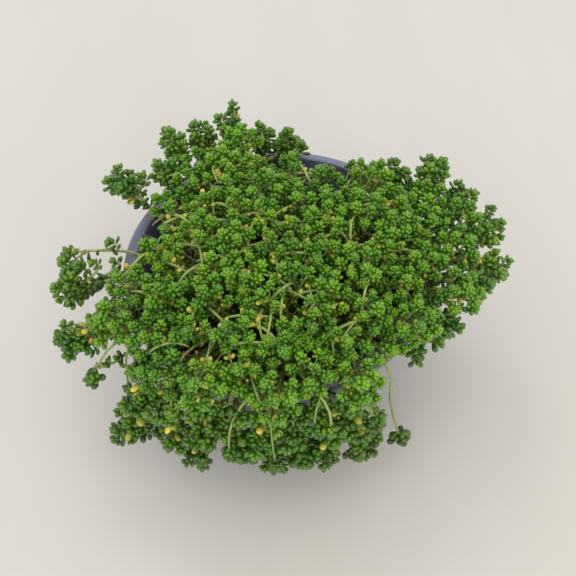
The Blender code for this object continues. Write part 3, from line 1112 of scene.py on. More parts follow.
    def add_side_shoots(
        self, mesh: Gatherer, stalk: Stalk, main: Sequence[Vector], pitch: float, tone: float,
        draw: random.Random,
    ) -> None:
        """Adds short side shoots along a hanging shoot, from its last head up to the lip.

        Args:
            mesh: The stalk's mesh.
            stalk: The hanging shoot.
            main: The line of its main stem.
            pitch: The distance between its heads.
            tone: The stalk's own tone.
            draw: The source of random values.
        """
        rule = self.side_shoots
        distance = (len(stalk.heads) - rule.under_head) * pitch
        place, direction = along(main, distance)
        side = draw.choice((-1, 1))
        while place.xy.length > self.pot.lip_radius + rule.clear and place.z < self.pot.height:
            outwards = place.xy.to_3d().normalized()
            across = direction.cross(outwards).normalized() * side
            aim = (outwards + across * rule.spread + UP * draw.uniform(*rule.rise)).normalized()
            end = place + aim * draw.uniform(*rule.length) * MM
            line = arch(place, end, Vector(), direction * MM)
            axis = (aim + UP * 0.5 + outwards * 0.3).normalized()
            own_tone = tone + draw.uniform(*rule.tone_jitter)
            self.add_stem(mesh, line, own_tone, rule.ages)
            self.add_rosette(mesh, Tip(end, axis, stalk.heads[-1], SPRIGS[stalk.habit]), own_tone, draw)
            side = -side
            distance += rule.pitch * draw.uniform(*rule.pitch_jitter)
            place, direction = along(main, distance)

    def add_runners(self, mesh: Gatherer, stalk: Stalk, heads: Sequence[Head], draw: random.Random) -> None:
        """Adds the bare stems that run across the gaps from this stalk's heads to the next heads.

        Args:
            mesh: The stalk's mesh.
            stalk: The spray or shoot.
            heads: All the heads.
            draw: The source of random values.
        """
        rule = self.runners
        inner = [head for head in heads if head.centre.xy.length < rule.limit]
        for head in stalk.heads:
            for other in inner:
                apart = other.centre - head.centre
                is_open = self.clearings.depth(head.centre.lerp(other.centre, 0.5)) > -rule.near
                share = rule.share_open if is_open else rule.share
                if not 0 < apart.length < rule.span or draw.random() > share:
                    continue
                across = apart.cross(UP).normalized()
                ends = []
                for part in (rule.inset, 1 - rule.inset):
                    aside = across * draw.uniform(*rule.aside) * MM
                    level = UP * draw.uniform(*rule.level) * MM
                    ends.append(head.centre + apart * part + aside + level)
                bend = UP * draw.uniform(*rule.arch) * MM + across * draw.uniform(*rule.drift) * MM
                line = arch(*ends, bend, bend)
                self.add_stem(mesh, line, draw.uniform(*rule.tone), rule.ages)
                self.add_loose_leaves(mesh, line, rule, draw)

    def add_hanger(self, mesh: Gatherer, stalk: Stalk, draw: random.Random) -> None:
        """Adds a thin stem from the mat over the lip, with its tip in front of a hanging shoot."""
        rule = self.hangers
        lip = self.pot.height
        head = stalk.heads[0]
        around = math.atan2(head.centre.y, head.centre.x)
        first = around + draw.uniform(*rule.root_turn)
        last = around + draw.uniform(*rule.turn)
        rise = draw.uniform(*rule.rise)
        end = polar(draw.uniform(*rule.reach) * MM, last, lip - draw.uniform(*rule.drop) * MM)
        root = polar(draw.uniform(*rule.root) * MM, first, lip + draw.uniform(*rule.root_level) * MM)
        crest_level = lip + (rule.crest_level + rise) * MM
        bend_level = lip + (rule.bend_level + rise) * MM
        crest = polar(rule.crest * MM, first + draw.uniform(*rule.turn), crest_level)
        bend = polar(draw.uniform(*rule.bend) * MM, last + draw.uniform(*rule.turn), bend_level)
        line = bezier(root, crest, bend, end, rule.runs)
        tone = draw.uniform(*rule.tone)
        self.add_stem(mesh, line, tone, rule.ages)
        self.add_rosette(mesh, Tip(end, (polar(1, last) + UP).normalized(), head, LONE_SPRIG), tone, draw)
        self.add_loose_leaves(mesh, line, rule, draw)

    def add_loose_leaves(
        self, mesh: Gatherer, line: Sequence[Vector], rule: Runners | Hangers, draw: random.Random
    ) -> None:
        """Adds the few loose leaves of a bare stem, with the size, numbers and conditions of its kind."""
        for _ in range(draw.choice(rule.leaf_counts)):
            place, direction = along(line, length_of(line) * draw.uniform(0.15, 0.85))
            aside = direction.cross(UP).normalized() * draw.choice((-1, 1))
            aim = (aside + UP * draw.uniform(0.1, 1.0) + direction * draw.uniform(0, 0.6)).normalized()
            size = rule.leaf * draw.uniform(0.8, 1.15)
            mesh.add_leaf(
                self.shapes.bead, place, aim, UP, size, size * 0.8, 0.3, draw.uniform(0.2, 0.75),
                draw.choice(rule.leaves),
            )

    def add_undergrowth(self, mesh: Gatherer, stalk: Stalk, draw: random.Random) -> None:
        """Adds the dry stems and withered leaves that tangle under a spray's heads."""
        rule = self.undergrowth
        inner = [head for head in stalk.heads if head.centre.xy.length <= rule.limit]
        for head in (head for head in inner for _ in range(rule.stems)):
            ends = []
            for _ in range(2):
                radius = rule.reach * draw.uniform(*rule.spread)
                end = head.centre + polar(radius, draw.uniform(0, math.tau))
                end.z = self.pot.height + draw.uniform(*rule.level) * MM
                ends.append(end)
            aside = draw.uniform(*rule.aside) * MM
            bend = polar(aside, draw.uniform(0, math.tau), draw.uniform(*rule.arch) * MM)
            line = arch(*ends, bend, bend)
            tone = draw.uniform(*rule.tone)
            mesh.add_stem(self.shapes.stem, line, self.stem_thin, self.stem_thin, tone, *rule.ages)
            place, direction = along(line, length_of(line) * draw.uniform(*rule.leaf_place))
            aim = (direction + UP * draw.uniform(0, 1)).normalized()
            mesh.add_leaf(
                self.shapes.bead, place, aim, UP, rule.leaf, rule.leaf * rule.leaf_slimness, 1,
                draw.uniform(*rule.tone), Condition.WITHERED,
            )

    def build(
        self, stalk: Stalk, tips: Sequence[Tip], heads: Sequence[Head], pitch: float,
        materials: Sequence[bpy.types.Material],
    ) -> bpy.types.Object:
        """Builds one stalk's foliage.

        Args:
            stalk: The spray or shoot.
            tips: Its shoot tips.
            heads: The heads of all the stalks.
            pitch: The distance between a trailing shoot's heads.
            materials: The leaf's and the stem's material.

        Returns:
            The piece that stands for the stalk's node.
        """
        draw = random.Random(stalk.node)
        mesh = Gatherer()
        lone = stalk.node in LONE_SHOOTS
        tone = draw.uniform(*self.tone)
        main: list[Vector] = []
        if stalk.habit is Habit.TRAILING:
            main = rounded(stalk.line, self.main_runs)
            main[0] = main[0].lerp(main[1], 0.2)
            thick = self.stem_thick * self.main_thickening
            mesh.add_stem(self.shapes.stem, main, thick, self.stem_thin, tone, *self.main_ages)
        for tip in tips:
            own_tone = tone + draw.uniform(*self.tone_jitter)
            if main:
                line = self.trailing_stem(main, stalk.heads.index(tip.head) * pitch, tip, draw)
            else:
                line = self.mat_stem(stalk, tip, draw)
            self.add_rosette(mesh, tip, own_tone, draw)
            if lone and tip is tips[0]:
                continue
            self.add_stem(mesh, line, own_tone, self.branch_ages)
            self.add_stem_leaves(mesh, line, tip.sprig, tip.sprig.stem_leaves, own_tone, draw)
        if main:
            sprig = tips[0].sprig
            count = sprig.stem_leaves if lone else self.stem_leaves.on_main_stem
            self.add_stem_leaves(mesh, main, sprig, count, tone, draw)
            if stalk.heads[0].centre.z < self.side_shoots.below and not lone:
                self.add_hanger(mesh, stalk, draw)
                if len(stalk.heads) > 1:
                    self.add_side_shoots(mesh, stalk, main, pitch, tone, draw)
        else:
            self.add_runners(mesh, stalk, heads, draw)
            self.add_undergrowth(mesh, stalk, draw)
        piece = mesh.finish(f"{stalk.node}_foliage", materials)
        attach(piece, BODY)
        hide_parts(stalk.node)
        return piece


class Wiring:
    """A material's or a group's node tree, with short ways to add and join nodes."""

    def __init__(self, tree: bpy.types.NodeTree) -> None:
        """Keeps the tree."""
        self.tree = tree

    def feed(self, node: bpy.types.Node, inputs: dict) -> None:
        """Sets a node's inputs or joins outputs to them, by the inputs' names or numbers."""
        for key, value in inputs.items():
            if isinstance(value, bpy.types.NodeSocket):
                self.tree.links.new(value, node.inputs[key])
            else:
                node.inputs[key].default_value = value

    def node(self, kind: str, inputs: dict | None = None, **settings: object) -> bpy.types.Node:
        """Adds a node.

        Args:
            kind: The node's type name.
            inputs: Values or output sockets for its inputs, by the inputs' names or numbers.
            settings: Properties of the node.

        Returns:
            The node.
        """
        node = self.tree.nodes.new(kind)
        for name, value in settings.items():
            setattr(node, name, value)
        self.feed(node, inputs or {})
        return node

    def group(self, tree: bpy.types.NodeTree, inputs: dict) -> bpy.types.Node:
        """Places a shared group with its own values."""
        return self.node("ShaderNodeGroup", inputs, node_tree=tree)

    def attribute(self, name: str) -> bpy.types.NodeSocket:
        """Reads a value that is stored on the mesh."""
        return self.node("ShaderNodeAttribute", attribute_name=name).outputs["Fac"]

    def place(self) -> bpy.types.NodeSocket:
        """Gives the object coordinates."""
        return self.node("ShaderNodeTexCoord").outputs["Object"]

    def stretched(self, vector: object, factors: Triple) -> bpy.types.NodeSocket:
        """Stretches a vector by a factor along each axis."""
        return self.node("ShaderNodeVectorMath", {0: vector, 1: factors}, operation="MULTIPLY").outputs[0]

    def math(self, operation: str, *values: object) -> bpy.types.NodeSocket:
        """Works out a value from others."""
        return self.node("ShaderNodeMath", dict(enumerate(values)), operation=operation).outputs[0]

    def mix(self, share: object, first: bpy.types.NodeSocket, second: object) -> bpy.types.NodeSocket:
        """Mixes two colours by a share from 0 to 1. The second may be a plain colour."""
        if not isinstance(second, bpy.types.NodeSocket):
            second = (*second, 1)
        inputs = {0: share, 6: first, 7: second}
        return self.node("ShaderNodeMix", inputs, data_type="RGBA", blend_type="MIX").outputs[2]

    def spread(
        self, value: object, low: float, high: float, to_low: float = 0.0, to_high: float = 1.0
    ) -> bpy.types.NodeSocket:
        """Maps a value smoothly from one range to another, and keeps it inside."""
        inputs = {0: value, 1: low, 2: high, 3: to_low, 4: to_high}
        return self.node("ShaderNodeMapRange", inputs, interpolation_type="SMOOTHSTEP").outputs[0]

    def ramp(self, value: object, stops: Sequence[tuple[float, Triple]]) -> bpy.types.NodeSocket:
        """Turns a value into a colour between stops."""
        node = self.node("ShaderNodeValToRGB", {0: value})
        elements = node.color_ramp.elements
        while len(elements) < len(stops):
            elements.new(0.5)
        for element, (place, colour) in zip(elements, stops):
            element.position = place
            element.color = (*colour, 1)
        return node.outputs[0]

    def noise(self, vector: object, scale: float, detail: float = 3.0) -> bpy.types.NodeSocket:
        """Adds soft random variation."""
        inputs = {"Vector": vector, "Scale": scale, "Detail": detail, "Roughness": 0.55}
        return self.node("ShaderNodeTexNoise", inputs).outputs[0]

    def skin(
        self, shader: bpy.types.Node, colour: bpy.types.NodeSocket, rough: bpy.types.NodeSocket,
        relief: bpy.types.NodeSocket, bump: Span,
    ) -> None:
        """Joins a skin to a shader.

        Args:
            shader: The Principled shader.
            colour: The skin's colour.
            rough: Its roughness.
            relief: The height of its fine relief, from 0 to 1.
            bump: The relief's strength and its depth in metres.
        """
        strength, depth = bump
        raised = self.node("ShaderNodeBump", {"Strength": strength, "Distance": depth, "Height": relief})
        self.feed(shader, {"Base Color": colour, "Roughness": rough, "Normal": raised.outputs[0]})


def new_group(
    name: str, inputs: dict[str, str], outputs: dict[str, str]
) -> tuple[Wiring, dict[str, bpy.types.NodeSocket], bpy.types.Node]:
    """Makes an empty shader node group.

    Args:
        name: The group's name.
        inputs: Its inputs' names and socket types.
        outputs: Its outputs' names and socket types.

    Returns:
        The group's wiring, its input sockets by name, and its output node.
    """
    tree = bpy.data.node_groups.new(name, "ShaderNodeTree")
    for side, sockets in (("INPUT", inputs), ("OUTPUT", outputs)):
        for label, kind in sockets.items():
            tree.interface.new_socket(label, in_out=side, socket_type=kind)
    given = tree.nodes.new("NodeGroupInput")
    return Wiring(tree), {s.name: s for s in given.outputs if s.name}, tree.nodes.new("NodeGroupOutput")


@dataclass
class Effects:
    """The shared effects: a living surface's mottling, and dust with fine grain."""

    blotch_scale: float = 420.0
    pit_scale: float = 2600.0
    patch_scale: float = 90.0
    speck_scale: float = 1300.0
    mottle: bpy.types.NodeTree = field(init=False)
    dust: bpy.types.NodeTree = field(init=False)

    def __post_init__(self) -> None:
        """Makes the groups."""
        self.mottle = self.make_mottle()
        self.dust = self.make_dust()

    def make_mottle(self) -> bpy.types.NodeTree:
        """Makes the mottling of leaves and stems: blotches in colour, and a waxy, finely pitted surface."""
        wires, given, result = new_group(
            "Living surface",
            {"Colour": "NodeSocketColor", "Tone": "NodeSocketFloat", "Place": "NodeSocketVector"},
            {"Colour": "NodeSocketColor", "Gloss": "NodeSocketFloat", "Relief": "NodeSocketFloat"},
        )
        blotches = wires.noise(given["Place"], self.blotch_scale)
        pits = wires.noise(given["Place"], self.pit_scale, 2.0)
        light = wires.math("MULTIPLY_ADD", given["Tone"], 0.75, 0.62)
        light = wires.math("MULTIPLY", light, wires.spread(blotches, 0.3, 0.7, 0.88, 1.12))
        hue = wires.math("MULTIPLY_ADD", given["Tone"], -0.035, 0.5175)
        shifted = wires.node(
            "ShaderNodeHueSaturation",
            {"Hue": hue, "Saturation": 1.0, "Value": light, "Fac": 1.0, "Color": given["Colour"]},
        )
        gloss = wires.spread(blotches, 0.3, 0.7)
        wires.feed(result, {"Colour": shifted.outputs[0], "Gloss": gloss, "Relief": pits})
        return wires.tree

    def make_dust(self) -> bpy.types.NodeTree:
        """Makes the dust that lies on faces that look up, and the fine grain under it."""
        wires, given, result = new_group(
            "Dust and grain",
            {"Place": "NodeSocketVector", "Amount": "NodeSocketFloat", "Grain": "NodeSocketFloat"},
            {"Dust": "NodeSocketFloat", "Relief": "NodeSocketFloat"},
        )
        patches = wires.spread(wires.noise(given["Place"], self.patch_scale, 6.0), 0.42, 0.68)
        specks = wires.spread(wires.noise(given["Place"], self.speck_scale, 2.0), 0.6, 0.72)
        normal = wires.node("ShaderNodeNewGeometry").outputs["Normal"]
        up = wires.node("ShaderNodeSeparateXYZ", {0: normal}).outputs[2]
        lying = wires.spread(up, 0.1, 0.9, 0.35)
        settled = wires.math("MULTIPLY", wires.math("MAXIMUM", patches, specks), lying)
        dust = wires.math("MULTIPLY", settled, given["Amount"])
        grain = wires.noise(given["Place"], given["Grain"], 2.0)
        wires.feed(result, {"Dust": dust, "Relief": grain})
        return wires.tree


def new_material(name: str) -> tuple[bpy.types.Material, Wiring, bpy.types.Node]:
    """Makes an empty material, and gives it with its wiring and its Principled shader."""
    material = bpy.data.materials.new(name)
    material.use_nodes = True
    return material, Wiring(material.node_tree), material.node_tree.nodes["Principled BSDF"]


# A waxy leaf has a soft gloss under a thin clear coat, and light scatters in its watery flesh.
LEAF_GLOSS = {
    "Specular IOR Level": 0.38,
    "Coat Weight": 0.34,
    "Coat Roughness": 0.14,
    "Subsurface Weight": 0.1,
    "Subsurface Radius": (0.5, 1.0, 0.2),
    "Subsurface Scale": 0.9 * MM,
}


@dataclass(frozen=True)
class LeafFinish:
    """The waxy skin of a succulent leaf, from fresh green to yellow, amber and brown."""

    name: str
    young: Triple
    grown: Triple
    old: Triple
    blush: float
    yellow: Triple = (0.62, 0.58, 0.06)
    amber: Triple = (0.68, 0.40, 0.05)
    brown: Triple = (0.22, 0.15, 0.06)
    blush_colour: Triple = (0.20, 0.085, 0.02)
    blush_scale: float = 60.0
    bump: Span = (0.18, 0.1 * MM)

    def material(self, effects: Effects) -> bpy.types.Material:
        """Makes the material."""
        material, wires, shader = new_material(self.name)
        wilt, share, tone, age = (wires.attribute(name) for name in ("wilt", "along", "tone", "age"))
        place = wires.place()
        # Darker towards the old outer leaves at each rosette's foot: partly their own older colour, partly
        # painted shade; low tips reach the dark end through painted shade.
        green = wires.ramp(age, ((0.0, self.young), (0.4, self.grown), (1.0, self.old)))
        pale_base = wires.mix(wires.spread(share, 0.0, 0.4, 0.35, 0.0), green, self.young)
        redness = wires.math("MULTIPLY", wires.spread(share, 0.62, 1.0), wires.spread(age, 0.3, 0.9))
        patchy = wires.spread(wires.noise(place, self.blush_scale), 0.4, 0.62, 0.0, self.blush)
        tipped = wires.mix(wires.math("MULTIPLY", redness, patchy), pale_base, self.blush_colour)
        turned = wires.ramp(wilt, ((0.35, self.yellow), (0.7, self.amber), (1.0, self.brown)))
        greener = wires.mix(wires.spread(share, 0.0, 0.8, 0.35, 0.0), turned, green)
        colour = wires.mix(wires.spread(wilt, 0.05, 0.3), tipped, greener)
        living = wires.group(effects.mottle, {"Colour": colour, "Tone": tone, "Place": place}).outputs
        dull = wires.math("MULTIPLY_ADD", wilt, 0.22, 0.27)
        rough = wires.math("MULTIPLY_ADD", living["Gloss"], 0.12, dull)
        wires.skin(shader, living["Colour"], rough, living["Relief"], self.bump)
        wires.feed(shader, LEAF_GLOSS)
        return material


# Each old colour, the darkest, is partly painted shade for the leaves low in a rosette and on low-hanging
# tips.
FRESH_LEAF = LeafFinish(
    "Fresh leaf", young=(0.158, 0.33, 0.009), grown=(0.087, 0.229, 0.003), old=(0.036, 0.115, 0.002),
    blush=0.1,
)
DEEP_LEAF = LeafFinish(
    "Deep green leaf", young=(0.104, 0.238, 0.01), grown=(0.058, 0.163, 0.004), old=(0.022, 0.074, 0.002),
    blush=0.25,
)


@dataclass(frozen=True)
class StemFinish:
    """A thin stem, pale green near its tip and brownish at its root."""

    name: str = "Pale green stem"
    tip: Triple = (0.22, 0.34, 0.06)
    middle: Triple = (0.33, 0.40, 0.12)
    root: Triple = (0.30, 0.22, 0.11)
    bump: Span = (0.3, 0.1 * MM)

    def material(self, effects: Effects) -> bpy.types.Material:
        """Makes the material."""
        material, wires, shader = new_material(self.name)
        stops = ((0.0, self.tip), (0.55, self.middle), (1.0, self.root))
        colour = wires.ramp(wires.attribute("age"), stops)
        inputs = {"Colour": colour, "Tone": wires.attribute("tone"), "Place": wires.place()}
        living = wires.group(effects.mottle, inputs).outputs
        rough = wires.math("MULTIPLY_ADD", living["Gloss"], 0.15, 0.42)
        wires.skin(shader, living["Colour"], rough, living["Relief"], self.bump)
        return material


@dataclass(frozen=True)
class PlasticFinish:
    """Moulded, slightly dusty plastic, paler in patches on the lip's outer edge: partly rubbed wear, partly
    painted sheen.
    """

    name: str = "Bluish grey moulded plastic"
    colour: Triple = (0.125, 0.14, 0.215)
    # A pale lavender grey: partly rubbed plastic, partly a painted sheen on the rounded edge.
    worn_and_sheen: Triple = (0.26, 0.27, 0.33)
    dust: Triple = (0.33, 0.31, 0.28)
    dust_amount: float = 0.3
    cloud_scale: float = 35.0
    rub_and_sheen_scale: float = 160.0
    rub_and_sheen_width: Span = (1.2 * MM, 0.1 * MM)
    grain: float = 2200.0
    bump: Span = (0.25, 0.06 * MM)

    def material(self, effects: Effects, pot: PotSizes) -> bpy.types.Material:
        """Makes the material."""
        material, wires, shader = new_material(self.name)
        place = wires.place()
        cloud = wires.spread(wires.noise(place, self.cloud_scale), 0.35, 0.65, 0.86, 1.14)
        inputs = {"Value": cloud, "Fac": 1.0, "Color": (*self.colour, 1)}
        tinted = wires.node("ShaderNodeHueSaturation", inputs).outputs[0]
        flat = wires.stretched(place, (1, 1, 0))
        radius = wires.node("ShaderNodeVectorMath", {0: flat}, operation="LENGTH").outputs["Value"]
        # Paler patches on the lip's outer rounded edge: partly rubbed wear, partly painted sheen.
        rim = wires.spread(radius, *(pot.lip_radius - inwards for inwards in self.rub_and_sheen_width))
        rubbed_and_sheen = wires.spread(wires.noise(place, self.rub_and_sheen_scale, 5.0), 0.45, 0.7, 0.0, 0.8)
        worn_and_sheen = wires.mix(wires.math("MULTIPLY", rim, rubbed_and_sheen), tinted, self.worn_and_sheen)
        inputs = {"Place": place, "Amount": self.dust_amount, "Grain": self.grain}
        dusty = wires.group(effects.dust, inputs).outputs
        colour = wires.mix(dusty["Dust"], worn_and_sheen, self.dust)
        rough = wires.math("MULTIPLY_ADD", dusty["Dust"], 0.4, 0.36)
        wires.skin(shader, colour, rough, dusty["Relief"], self.bump)
        return material


@dataclass(frozen=True)
class SoilFinish:
    """Dark, damp, crumbly potting mix, with lighter bits of bark; its near-black colours are partly painted
    shade.
    """

    name: str
    # Near-black: damp soil, darkened further as painted shade for the gaps under the foliage.
    dark: Triple = (0.012, 0.009, 0.007)
    light: Triple = (0.045, 0.030, 0.020)
    bark: Triple = (0.11, 0.055, 0.028)
    bark_share: float = 0.0
    crumb_scale: float = 900.0
    bark_scale: float = 260.0
    dust_amount: float = 0.1
    grain: float = 1500.0
    bump: Span = (0.9, 0.4 * MM)

    def material(self, effects: Effects) -> bpy.types.Material:
        """Makes the material."""
        material, wires, shader = new_material(self.name)
        place = wires.place()
        crumbs = wires.noise(place, self.crumb_scale, 6.0)
        earth = wires.ramp(crumbs, ((0.35, self.dark), (0.68, self.light)))
        bits = wires.spread(wires.noise(place, self.bark_scale, 2.0), 0.5, 0.62)
        bits = wires.math("MAXIMUM", wires.math("MULTIPLY", bits, 0.35), self.bark_share)
        colour = wires.mix(bits, earth, self.bark)
        rough = wires.spread(crumbs, 0.3, 0.7, 0.75, 0.98)
        inputs = {"Place": place, "Amount": self.dust_amount, "Grain": self.grain}
        wires.skin(shader, colour, rough, wires.group(effects.dust, inputs).outputs["Relief"], self.bump)
        return material


@dataclass(frozen=True)
class FloorFinish:
    """A plain pale floor with barely visible unevenness."""

    name: str = "Pale floor"
    colour: Triple = (0.585, 0.555, 0.512)
    shade: Triple = (0.57, 0.535, 0.48)
    stretch: Triple = (9, 2.2, 1)
    rough: float = 0.55

    def material(self) -> bpy.types.Material:
        """Makes the material."""
        material, wires, shader = new_material(self.name)
        drawn_out = wires.stretched(wires.place(), self.stretch)
        cloud = wires.spread(wires.noise(drawn_out, 1.6, 5.0), 0.35, 0.7)
        inputs = {0: cloud, 6: (*self.colour, 1), 7: (*self.shade, 1)}
        mixed = wires.node("ShaderNodeMix", inputs, data_type="RGBA", blend_type="MIX")
        wires.feed(shader, {"Base Color": mixed.outputs[2], "Roughness": self.rough})
        return material


def mesh_piece(name: str, bm: bmesh.types.BMesh, material: bpy.types.Material) -> bpy.types.Object:
    """Makes a bmesh an object with one material, shaded smooth."""
    for face in bm.faces:
        face.smooth = True
    piece = show(name, mesh_of(name, bm))
    piece.data.materials.append(material)
    return piece


def turn_round(bm: bmesh.types.BMesh, profile: Sequence[Span], steps: int) -> None:
    """Turns a profile of (radius, height) points round the pot's axis into a closed solid."""
    points = [bm.verts.new((radius, 0, height)) for radius, height in profile]
    edges = [bm.edges.new(pair) for pair in zip(points, points[1:])]
    bmesh.ops.spin(
        bm, geom=points + edges, cent=(0, 0, 0), axis=(0, 0, 1), angle=math.tau, steps=steps, use_merge=True
    )
    bmesh.ops.remove_doubles(bm, verts=bm.verts, dist=0.005 * MM)
    bmesh.ops.recalc_face_normals(bm, faces=bm.faces)


def arc(centre: Span, radius: float, start: float, end: float, cuts: int) -> list[Span]:
    """Gives points on an arc of a profile, from one angle to another in degrees."""
    points = []
    for cut in range(cuts + 1):
        angle = math.radians(start + (end - start) * cut / cuts)
        points.append((centre[0] + radius * math.cos(angle), centre[1] + radius * math.sin(angle)))
    return points


@dataclass
class Pan:
    """The round nursery pan: a rolled lip with a skirt, a tapered wall and a base with drainage holes."""

    sizes: PotSizes
    steps: int = 144
    lip_round: float = 0.9 * MM
    outer_round: float = 1.1 * MM
    skirt_round: float = 0.35 * MM
    floor_round: float = 1 * MM
    small_round: float = 0.5 * MM
    neck_depth: float = 3 * MM
    base_ring: float = 4 * MM
    drain_sides: int = 32
    crease: float = math.radians(40)

    def profile(self) -> list[Span]:
        """Gives the section, from the middle of the inner floor over the lip to the middle of the base."""
        s = self.sizes
        top = s.height
        outer_top = top - s.lip_slope
        skirt = outer_top - s.lip_skirt + self.skirt_round
        under = outer_top - s.wall
        inner_skirt = s.lip_radius - s.wall
        small = self.small_round
        corner = s.floor + self.floor_round
        points = [(0, s.floor), (s.inner_radius(s.floor) - self.floor_round, s.floor)]
        points += arc((s.inner_radius(corner) - self.floor_round, corner), self.floor_round, -90, 0, 4)
        points.append((s.inner_radius(top - self.neck_depth), top - self.neck_depth))
        points += arc((s.neck + self.lip_round, top - self.lip_round), self.lip_round, 180, 84, 6)
        points.append((s.neck + s.lip_width * 0.5, top - s.lip_slope * 0.3))
        points += arc((s.lip_radius - self.outer_round, outer_top - 0.9 * MM), self.outer_round, 72, 0, 6)
        points += arc((s.lip_radius - self.skirt_round, skirt), self.skirt_round, 0, -90, 3)
        points += arc((inner_skirt + self.skirt_round, skirt), self.skirt_round, -90, -180, 3)
        points += [(inner_skirt, under - small), (inner_skirt - small, under)]
        points += [(s.neck + s.wall + small, under), (s.neck + s.wall - 0.1 * MM, under - 0.6 * MM)]
        points.append((s.base_radius + 0.25 * MM, s.base_round + small))
        points += arc((s.base_radius - s.base_round, s.base_round), s.base_round, 0, -90, 4)
        points += [(s.base_radius - self.base_ring, 0), (0, 0)]
        return points

    def drains(self) -> bpy.types.Object:
        """Makes the cutter of the drainage holes."""
        s = self.sizes
        bm = bmesh.new()
        for turn in range(s.drain_count):
            angle = math.tau * (turn + 0.5) / s.drain_count
            place = Matrix.Translation(polar(s.drain_circle, angle, s.floor / 2))
            bmesh.ops.create_cone(
                bm, cap_ends=True, segments=self.drain_sides, radius1=s.drain_radius,
                radius2=s.drain_radius, depth=3 * s.floor, matrix=place,
            )
        return show("drains", mesh_of("drains", bm))

    def build(self, material: bpy.types.Material) -> bpy.types.Object:
        """Builds the pan, which stands for the pot's node."""
        bm = bmesh.new()
        turn_round(bm, self.profile(), self.steps)
        piece = mesh_piece("pan", bm, material)
        cutter = self.drains()
        cut = piece.modifiers.new("Drains", "BOOLEAN")
        cut.operation = "DIFFERENCE"
        cut.object = cutter
        depsgraph = bpy.context.evaluated_depsgraph_get()
        mesh = bpy.data.meshes.new_from_object(piece.evaluated_get(depsgraph))
        piece.modifiers.clear()
        piece.data = mesh
        bpy.data.objects.remove(cutter)
        mesh.set_sharp_from_angle(angle=self.crease)
        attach(piece, BODY)
        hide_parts("pot")
        return piece


@dataclass(frozen=True)
class Crumbs:
    """A kind of crumb on the soil: its number, and the range in mm of each of its three half sizes."""

    count: int
    sizes: tuple[Span, Span, Span]

    def size(self, draw: random.Random) -> Vector:
        """Draws the size of one crumb."""
        return Vector([draw.uniform(*span) for span in self.sizes]) * MM


@dataclass
class Soil:
    """The potting mix: an uneven bed with crumbs and bits of bark on it."""

    sizes: PotSizes
    crumbs: Crumbs = Crumbs(420, ((0.5, 1.3), (0.5, 1.2), (0.4, 0.9)))
    chips: Crumbs = Crumbs(90, ((1.2, 3.2), (0.7, 1.4), (0.25, 0.5)))
    clearance: float = 0.35 * MM
    sunk: float = 1.1 * MM
    bump_scale: float = 260
    bump_height: float = 0.9
    edge: float = 2.5 * MM
    tilt: Span = (-0.5, 0.5)
    rings: int = 44
    steps: int = 180
    seed: int = 41

    def surface(self, place: Vector) -> float:
        """Gives the height of the uneven surface at a place."""
        bumps = noise.fractal(place * self.bump_scale, 0.6, 2.0, 4) * self.bump_height * MM
        return self.sizes.soil_height(place.xy.length) - self.sunk + bumps

    def bed(self, material: bpy.types.Material) -> bpy.types.Object:
        """Builds the bed, which stands for the soil's node."""
        s = self.sizes
        floor = s.floor + self.clearance
        rim = s.inner_radius(s.soil_edge) - self.clearance
        profile = [(rim * ring / self.rings, s.soil_edge) for ring in range(self.rings + 1)]
        profile += [(s.inner_radius(floor) - self.clearance, floor), (0, floor)]
        bm = bmesh.new()
        turn_round(bm, profile, self.steps)
        for vertex in bm.verts:
            if vertex.co.z > s.soil_edge - 1 * MM:
                vertex.co.z = self.surface(vertex.co)
        piece = mesh_piece("soil_bed", bm, material)
        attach(piece, BODY)
        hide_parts("soil")
        return piece

    def scatter(self, name: str, kind: Crumbs, material: bpy.types.Material) -> bpy.types.Object:
        """Scatters crumbs or flat bark chips over the bed, half sunk in it.

        Args:
            name: The piece's name.
            kind: The crumbs or the chips.
            material: Their material.

        Returns:
            The piece.
        """
        draw = random.Random(f"{self.seed}{name}")
        rim = self.sizes.inner_radius(self.sizes.soil_edge) - self.edge
        bm = bmesh.new()
        for index in range(kind.count):
            place = sunflower(index, kind.count, rim, draw.uniform(0, 0.4))
            place.z = self.surface(place)
            turn = Matrix.Rotation(draw.uniform(0, math.tau), 4, "Z")
            turn @= Matrix.Rotation(draw.uniform(*self.tilt), 4, "X")
            size = self.crumbs.size(draw)
            if kind is self.chips:
                size = self.chips.size(draw)
            matrix = Matrix.Translation(place) @ turn @ Matrix.Diagonal((*size, 1))
            made = bmesh.ops.create_icosphere(bm, subdivisions=1, radius=1, matrix=matrix)
            for vertex in made["verts"]:
                vertex.co += stray_vector(draw) * 0.12 * MM
        piece = mesh_piece(name, bm, material)
        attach(piece, BODY)
        return piece


@dataclass(frozen=True)
class Viewpoint:
    """The photograph's camera, fitted to the ellipse of the lip in a square frame."""

    image: int = 576
    distance: float = 350 * MM
    elevation: float = math.radians(49.7)
    roll: float = math.radians(-3.27)
    focal_pixels: float = 913.7
    centre_x: float = 278.9
    centre_y: float = 257.3
    sensor: float = 36.0

    def build(self, target: Vector) -> bpy.types.Object:
        """Adds the camera, which looks at the target."""
        data = bpy.data.cameras.new("viewpoint")
        data.sensor_width = self.sensor
        data.lens = self.focal_pixels * self.sensor / self.image
        data.shift_x = (self.image / 2 - self.centre_x) / self.image
        data.shift_y = (self.centre_y - self.image / 2) / self.image
        data.clip_start = 5 * MM
        camera = show("viewpoint", data)
        back = Vector((0, -math.cos(self.elevation), math.sin(self.elevation)))
        right = Vector((1, 0, 0))
        facing = Matrix((right, back.cross(right), back)).transposed().to_4x4()
        turned = Matrix.Rotation(self.roll, 4, "Z")
        camera.matrix_world = Matrix.Translation(target + back * self.distance) @ facing @ turned
        bpy.context.scene.camera = camera
        return camera


